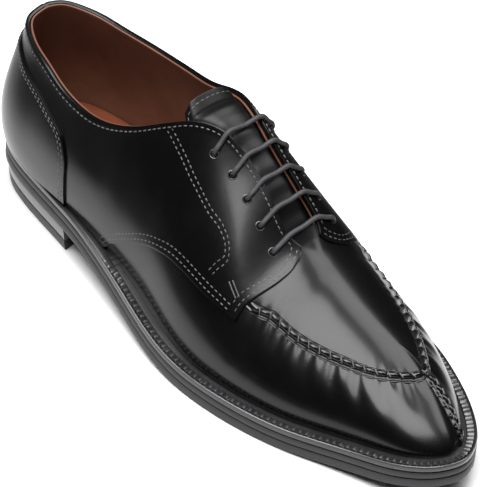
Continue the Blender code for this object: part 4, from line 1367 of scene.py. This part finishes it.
def make_finishes(paint):
    make_grain_group()
    make_rub_group()
    black = tuple(paint.calf)
    grey = tuple(c * 1.9 + 0.0010 for c in black)
    finish_of("calf", black, grey, 0.22, 0.08, lift=0.00009, crease=0.75, coat=0.12, coat_rough=0.12,
              specular=0.28)
    finish_of("calf_seam", black, grey, 0.22, 0.12, lift=0.00010, crease=0.9, coat=0.35, coat_rough=0.14,
              specular=0.4)
    finish_of("cut_edge", (0.010, 0.009, 0.009), (0.030, 0.026, 0.024), 0.45, 0.2, pore=2600.0)
    finish_of("tongue_calf", black, grey, 0.34, 0.12, lift=0.00012, crease=0.9, coat=0.05, coat_rough=0.25,
              specular=0.22)
    finish_of("lining", tuple(paint.lining), tuple(c * 1.7 for c in paint.lining), 0.52, 0.15, lift=0.00010,
              crease=0.8, rub=0.6)
    finish_of("raw_edge", (0.105, 0.058, 0.022), (0.170, 0.098, 0.040), 0.75, 0.1, pore=3200.0, lift=0.00016)
    finish_of("sock", tuple(paint.sock), tuple(c * 1.6 for c in paint.sock), 0.42, 0.16, lift=0.00008,
              crease=0.8, rub=0.5, coat=0.12, coat_rough=0.3)
    finish_of("thread", (0.016, 0.016, 0.017), (0.115, 0.115, 0.120), 0.34, 0.15, pore=5200.0, lift=0.00010,
              rub=1.0, rub_size=900.0, specular=0.7)
    finish_of("welt_thread", (0.020, 0.020, 0.021), (0.210, 0.210, 0.215), 0.30, 0.15, pore=4200.0, rub=1.0,
              rub_size=700.0, specular=0.7)
    finish_of("waxed_lace", tuple(paint.lace), tuple(c * 2.3 for c in paint.lace), 0.44, 0.12, pore=4200.0,
              lift=0.00016, crease=0.2, rub=0.5, rub_size=400.0, weave=(6.0, 46.0))
    finish_of("eyelet", (0.012, 0.012, 0.013), (0.050, 0.050, 0.054), 0.22, 0.1, pore=3000.0, coat=0.5)
    # painted reflection: the sole and heel edges get a pale grey base colour that stands in for the sheen of
    # the burnished edges
    edge = tuple(paint.edge)
    edge_painted_sheen = tuple(c * 1.8 for c in edge)
    finish_of("sole_edge", edge, edge_painted_sheen, 0.34, 0.12, pore=2400.0, lift=0.00010, coat=0.35, coat_rough=0.22,
              lines=((1.0, 1.0, 22.0), 90.0, 1.2))
    finish_of("heel_edge", tuple(c * 0.8 for c in edge), edge, 0.30, 0.12, pore=2400.0, lift=0.00008,
              coat=0.4, coat_rough=0.2, lines=((1.0, 1.0, 14.0), 70.0, 0.9))
    finish_of("heel_rubber", (0.016, 0.016, 0.017), (0.036, 0.036, 0.038), 0.42, 0.15, pore=3400.0,
              lift=0.00010)
    finish_of("welt_edge", (0.010, 0.010, 0.011), (0.032, 0.032, 0.034), 0.28, 0.16, pore=2600.0,
              lift=0.00010, coat=0.4, coat_rough=0.18)
    make_paper()


def make_paper():
    # white paper close to the shoe; further out its colour turns dark for glossy rays only, a painted dark
    # reflection that only the gloss of the leather meets
    look = finish_of("paper", (0.80, 0.80, 0.80), (0.84, 0.84, 0.84), 0.8, 0.05, pore=400.0, lift=0.00002,
                     rub=0.2, rub_size=3.0)
    tree = look.node_tree
    shader = tree.nodes["Principled BSDF"]
    paper = shader.inputs["Base Color"].links[0].from_socket
    where = tree.nodes.new("ShaderNodeTexCoord").outputs["Object"]
    oval = node(tree, "ShaderNodeMapping", {"Vector": where})
    oval.inputs["Scale"].default_value = (1 / 0.33, 1 / 0.16, 1.0)
    reach = node(tree, "ShaderNodeVectorMath", {0: oval.outputs[0]}, operation="LENGTH")
    far_dark_reflection = node(tree, "ShaderNodeMapRange", {
        "Value": reach.outputs["Value"], "From Min": 0.60, "From Max": 1.00}, interpolation_type="SMOOTHSTEP")
    # painted reflection: the far paper is dark only to glossy rays, so the leather shows dark there
    gloss = node(tree, "ShaderNodeLightPath").outputs["Is Glossy Ray"]
    painted_dark_reflection_mask = math_node(tree, "MULTIPLY", far_dark_reflection.outputs[0], gloss)
    shade = node(tree, "ShaderNodeMix", {0: painted_dark_reflection_mask}, data_type="RGBA")
    tree.links.new(paper, shade.inputs[MIX_ONE])
    shade.inputs[MIX_TWO].default_value = (0.02, 0.02, 0.02, 1.0)
    tree.links.new(shade.outputs[MIX_OUT], shader.inputs["Base Color"])


# the photograph's view, measured in the tables' own frame
VIEW_TURN = math.radians(46.63)
VIEW_RISE = math.radians(40.0)
VIEW_ROLL = math.radians(4.73)
VIEW_FOCAL_PX = 4389.9
VIEW_LONG_PX = 487
VIEW_DISTANCE = 2.0
VIEW_TARGET = (0.14953, 0.00329, 0.040)


def make_camera():
    right = np.array([math.cos(VIEW_TURN), math.sin(VIEW_TURN), 0.0])
    back = np.array([math.sin(VIEW_TURN) * math.cos(VIEW_RISE), -math.cos(VIEW_TURN) * math.cos(VIEW_RISE),
                     math.sin(VIEW_RISE)])
    up = np.cross(back, right)
    turn, lean = math.cos(VIEW_ROLL), math.sin(VIEW_ROLL)
    right, up = right * turn + up * lean, up * turn - right * lean
    place = np.array(VIEW_TARGET) + SHIFT + back * VIEW_DISTANCE
    data = bpy.data.cameras.new("photo_view")
    data.sensor_width = 36.0
    data.lens = VIEW_FOCAL_PX * data.sensor_width / VIEW_LONG_PX
    data.clip_end = 20.0
    camera = bpy.data.objects.new("photo_view", data)
    bpy.context.collection.objects.link(camera)
    matrix = Matrix([[*row] for row in np.stack([right, up, back], axis=1).tolist()]).to_4x4()
    matrix.translation = Vector(place)
    camera.matrix_world = matrix
    bpy.context.scene.camera = camera


def soft_box(name, place, target, width, height, power):
    data = bpy.data.lights.new(name, "AREA")
    data.shape = "RECTANGLE"
    data.size = width
    data.size_y = height
    data.energy = power
    lamp = bpy.data.objects.new(name, data)
    bpy.context.collection.objects.link(lamp)
    lamp.location = place
    way = Vector(target) - Vector(place)
    lamp.rotation_euler = way.to_track_quat("-Z", "Y").to_euler()


# soft boxes: place, what they face, width, height and power in watts
SOFT_BOXES = {
    "high_box": ((0.05, 0.80, 1.40), (0.0, 0.0, 0.04), 1.5, 0.7, 20.0),
    "floor_box": ((-0.1, -0.5, 2.1), (0.0, 0.0, 0.0), 2.0, 1.6, 100.0),
}


def make_stage(light):
    deselect()
    bpy.ops.mesh.primitive_plane_add(size=8.0)
    floor = bpy.context.object
    floor.name = "floor"
    floor.data.materials.append(bpy.data.materials["paper"])
    world = bpy.data.worlds.new("studio")
    bpy.context.scene.world = world
    world.use_nodes = True
    world.node_tree.nodes["Background"].inputs["Color"].default_value = (0.95, 0.97, 1.0, 1.0)
    # the walls of the studio are white to the eye and dark in the gloss of the shoe
    ray = world.node_tree.nodes.new("ShaderNodeLightPath").outputs["Is Camera Ray"]
    shown = math_node(world.node_tree, "MAXIMUM", ray, light.around)
    world.node_tree.links.new(shown, world.node_tree.nodes["Background"].inputs["Strength"])
    for name, (place, target, width, height, power) in SOFT_BOXES.items():
        soft_box(name, place, target, width, height, power * light.strength)
    bpy.context.scene.view_settings.view_transform = "Standard"
    make_camera()


class DerbySizes(bpy.types.PropertyGroup):
    stitch_length: bpy.props.FloatProperty(
        name="Stitch length", description="Length of one seam stitch", default=0.0022, unit="LENGTH")
    stitch_pitch: bpy.props.FloatProperty(
        name="Stitch pitch", description="Way from stitch to stitch", default=0.0028, unit="LENGTH")
    thread: bpy.props.FloatProperty(
        name="Thread", description="Thickness of the seam thread", default=0.00066, unit="LENGTH")
    pucker_pitch: bpy.props.FloatProperty(
        name="Pucker pitch", description="Way between the puckers of the apron seam", default=0.0055,
        unit="LENGTH")
    pucker_depth: bpy.props.FloatProperty(
        name="Pucker depth", description="Depth of the puckers beside the apron seam", default=0.0006,
        unit="LENGTH")
    ridge_pitch: bpy.props.FloatProperty(
        name="Welt ridge pitch", description="Way between the wheel marks on the welt", default=0.0033,
        unit="LENGTH")


class DerbyFinish(bpy.types.PropertyGroup):
    calf: bpy.props.FloatVectorProperty(
        name="Calf", description="Colour of the polished calf", subtype="COLOR", size=3,
        default=(0.0014, 0.0014, 0.0015))
    lining: bpy.props.FloatVectorProperty(
        name="Lining", description="Colour of the lining leather", subtype="COLOR", size=3,
        default=(0.092, 0.033, 0.017))
    sock: bpy.props.FloatVectorProperty(
        name="Insole", description="Colour of the insole leather", subtype="COLOR", size=3,
        default=(0.125, 0.030, 0.011))
    lace: bpy.props.FloatVectorProperty(
        name="Lace", description="Colour of the waxed lace", subtype="COLOR", size=3,
        default=(0.020, 0.020, 0.022))
    # painted reflection: this pale grey stands in for the sheen of the burnished sole edge
    edge: bpy.props.FloatVectorProperty(
        name="Sole edge", description="Colour of the dressed sole edge", subtype="COLOR", size=3,
        default=(0.133, 0.132, 0.127))


class DerbyLight(bpy.types.PropertyGroup):
    strength: bpy.props.FloatProperty(
        name="Box strength", description="Factor on all soft boxes", default=1.0, min=0.0)
    around: bpy.props.FloatProperty(
        name="Light around", description="Strength of the even light of the studio", default=0.02, min=0.0)


class DERBY_OT_finishes(bpy.types.Operator):
    """Make the leather, thread, lace and edge materials"""
    bl_idname = "derby.finishes"
    bl_label = "Make finishes"

    def execute(self, context):
        make_finishes(context.scene.derby_finish)
        return {"FINISHED"}


class DERBY_OT_stage(bpy.types.Operator):
    """Set the floor, the lights and the camera"""
    bl_idname = "derby.stage"
    bl_label = "Set stage"

    def execute(self, context):
        make_stage(context.scene.derby_light)
        return {"FINISHED"}


def piece_operator(name, label, note, *makers):
    def execute(self, context):
        for maker in makers:
            maker(context.scene.derby_sizes)
        return {"FINISHED"}

    return type("DERBY_OT_" + name, (bpy.types.Operator,), {
        "__doc__": note, "bl_idname": "derby." + name, "bl_label": label, "execute": execute})


PIECES = (
    piece_operator("soles", "Build sole and heel", "Build outsole, midsole, welt and heel", make_soles),
    piece_operator("vamp", "Build vamp", "Build the vamp walls and the apron", make_vamp, make_apron),
    piece_operator("seams", "Sew apron and toe", "Build the apron seam and toe seam",
                   make_apron_seam, make_toe_seam),
    piece_operator("lining", "Build lining", "Build the linings and the insole", make_lining, make_insole),
    piece_operator("tongue", "Build tongue", "Build the tongue with its hem", make_tongue),
    piece_operator("quarters", "Build quarters", "Build the quarters and the counter",
                   make_quarters, make_counter),
    piece_operator("stitches", "Sew seams", "Sew the rows of stitches on the panels", make_stitches),
    piece_operator("laces", "Lace up", "Build the eyelet rims and the lace bars",
                   make_eyelet_rims, make_laces),
)


class DERBY_PT_panel(bpy.types.Panel):
    """Sizes, colours and the steps that build the shoe"""
    bl_idname = "DERBY_PT_panel"
    bl_label = "Split toe derby"
    bl_space_type = "VIEW_3D"
    bl_region_type = "UI"
    bl_category = "Derby"

    def draw(self, context):
        scene = context.scene
        for group in (scene.derby_sizes, scene.derby_finish, scene.derby_light):
            box = self.layout.box()
            for name in group.__annotations__:
                box.prop(group, name)
        for operator in STEPS:
            self.layout.operator(operator.bl_idname)


STEPS = (DERBY_OT_finishes, *PIECES, DERBY_OT_stage)
GROUPS = {"derby_sizes": DerbySizes, "derby_finish": DerbyFinish, "derby_light": DerbyLight}


def register():
    for name, group in GROUPS.items():
        bpy.utils.register_class(group)
        setattr(bpy.types.Scene, name, bpy.props.PointerProperty(type=group))
    for item in (*STEPS, DERBY_PT_panel):
        bpy.utils.register_class(item)


def unregister():
    for item in (DERBY_PT_panel, *reversed(STEPS)):
        bpy.utils.unregister_class(item)
    for name, group in GROUPS.items():
        delattr(bpy.types.Scene, name)
        bpy.utils.unregister_class(group)


def main():
    register()
    for step in STEPS:
        family, action = step.bl_idname.split(".")
        getattr(getattr(bpy.ops, family), action)()


if __name__ == "__main__":
    main()
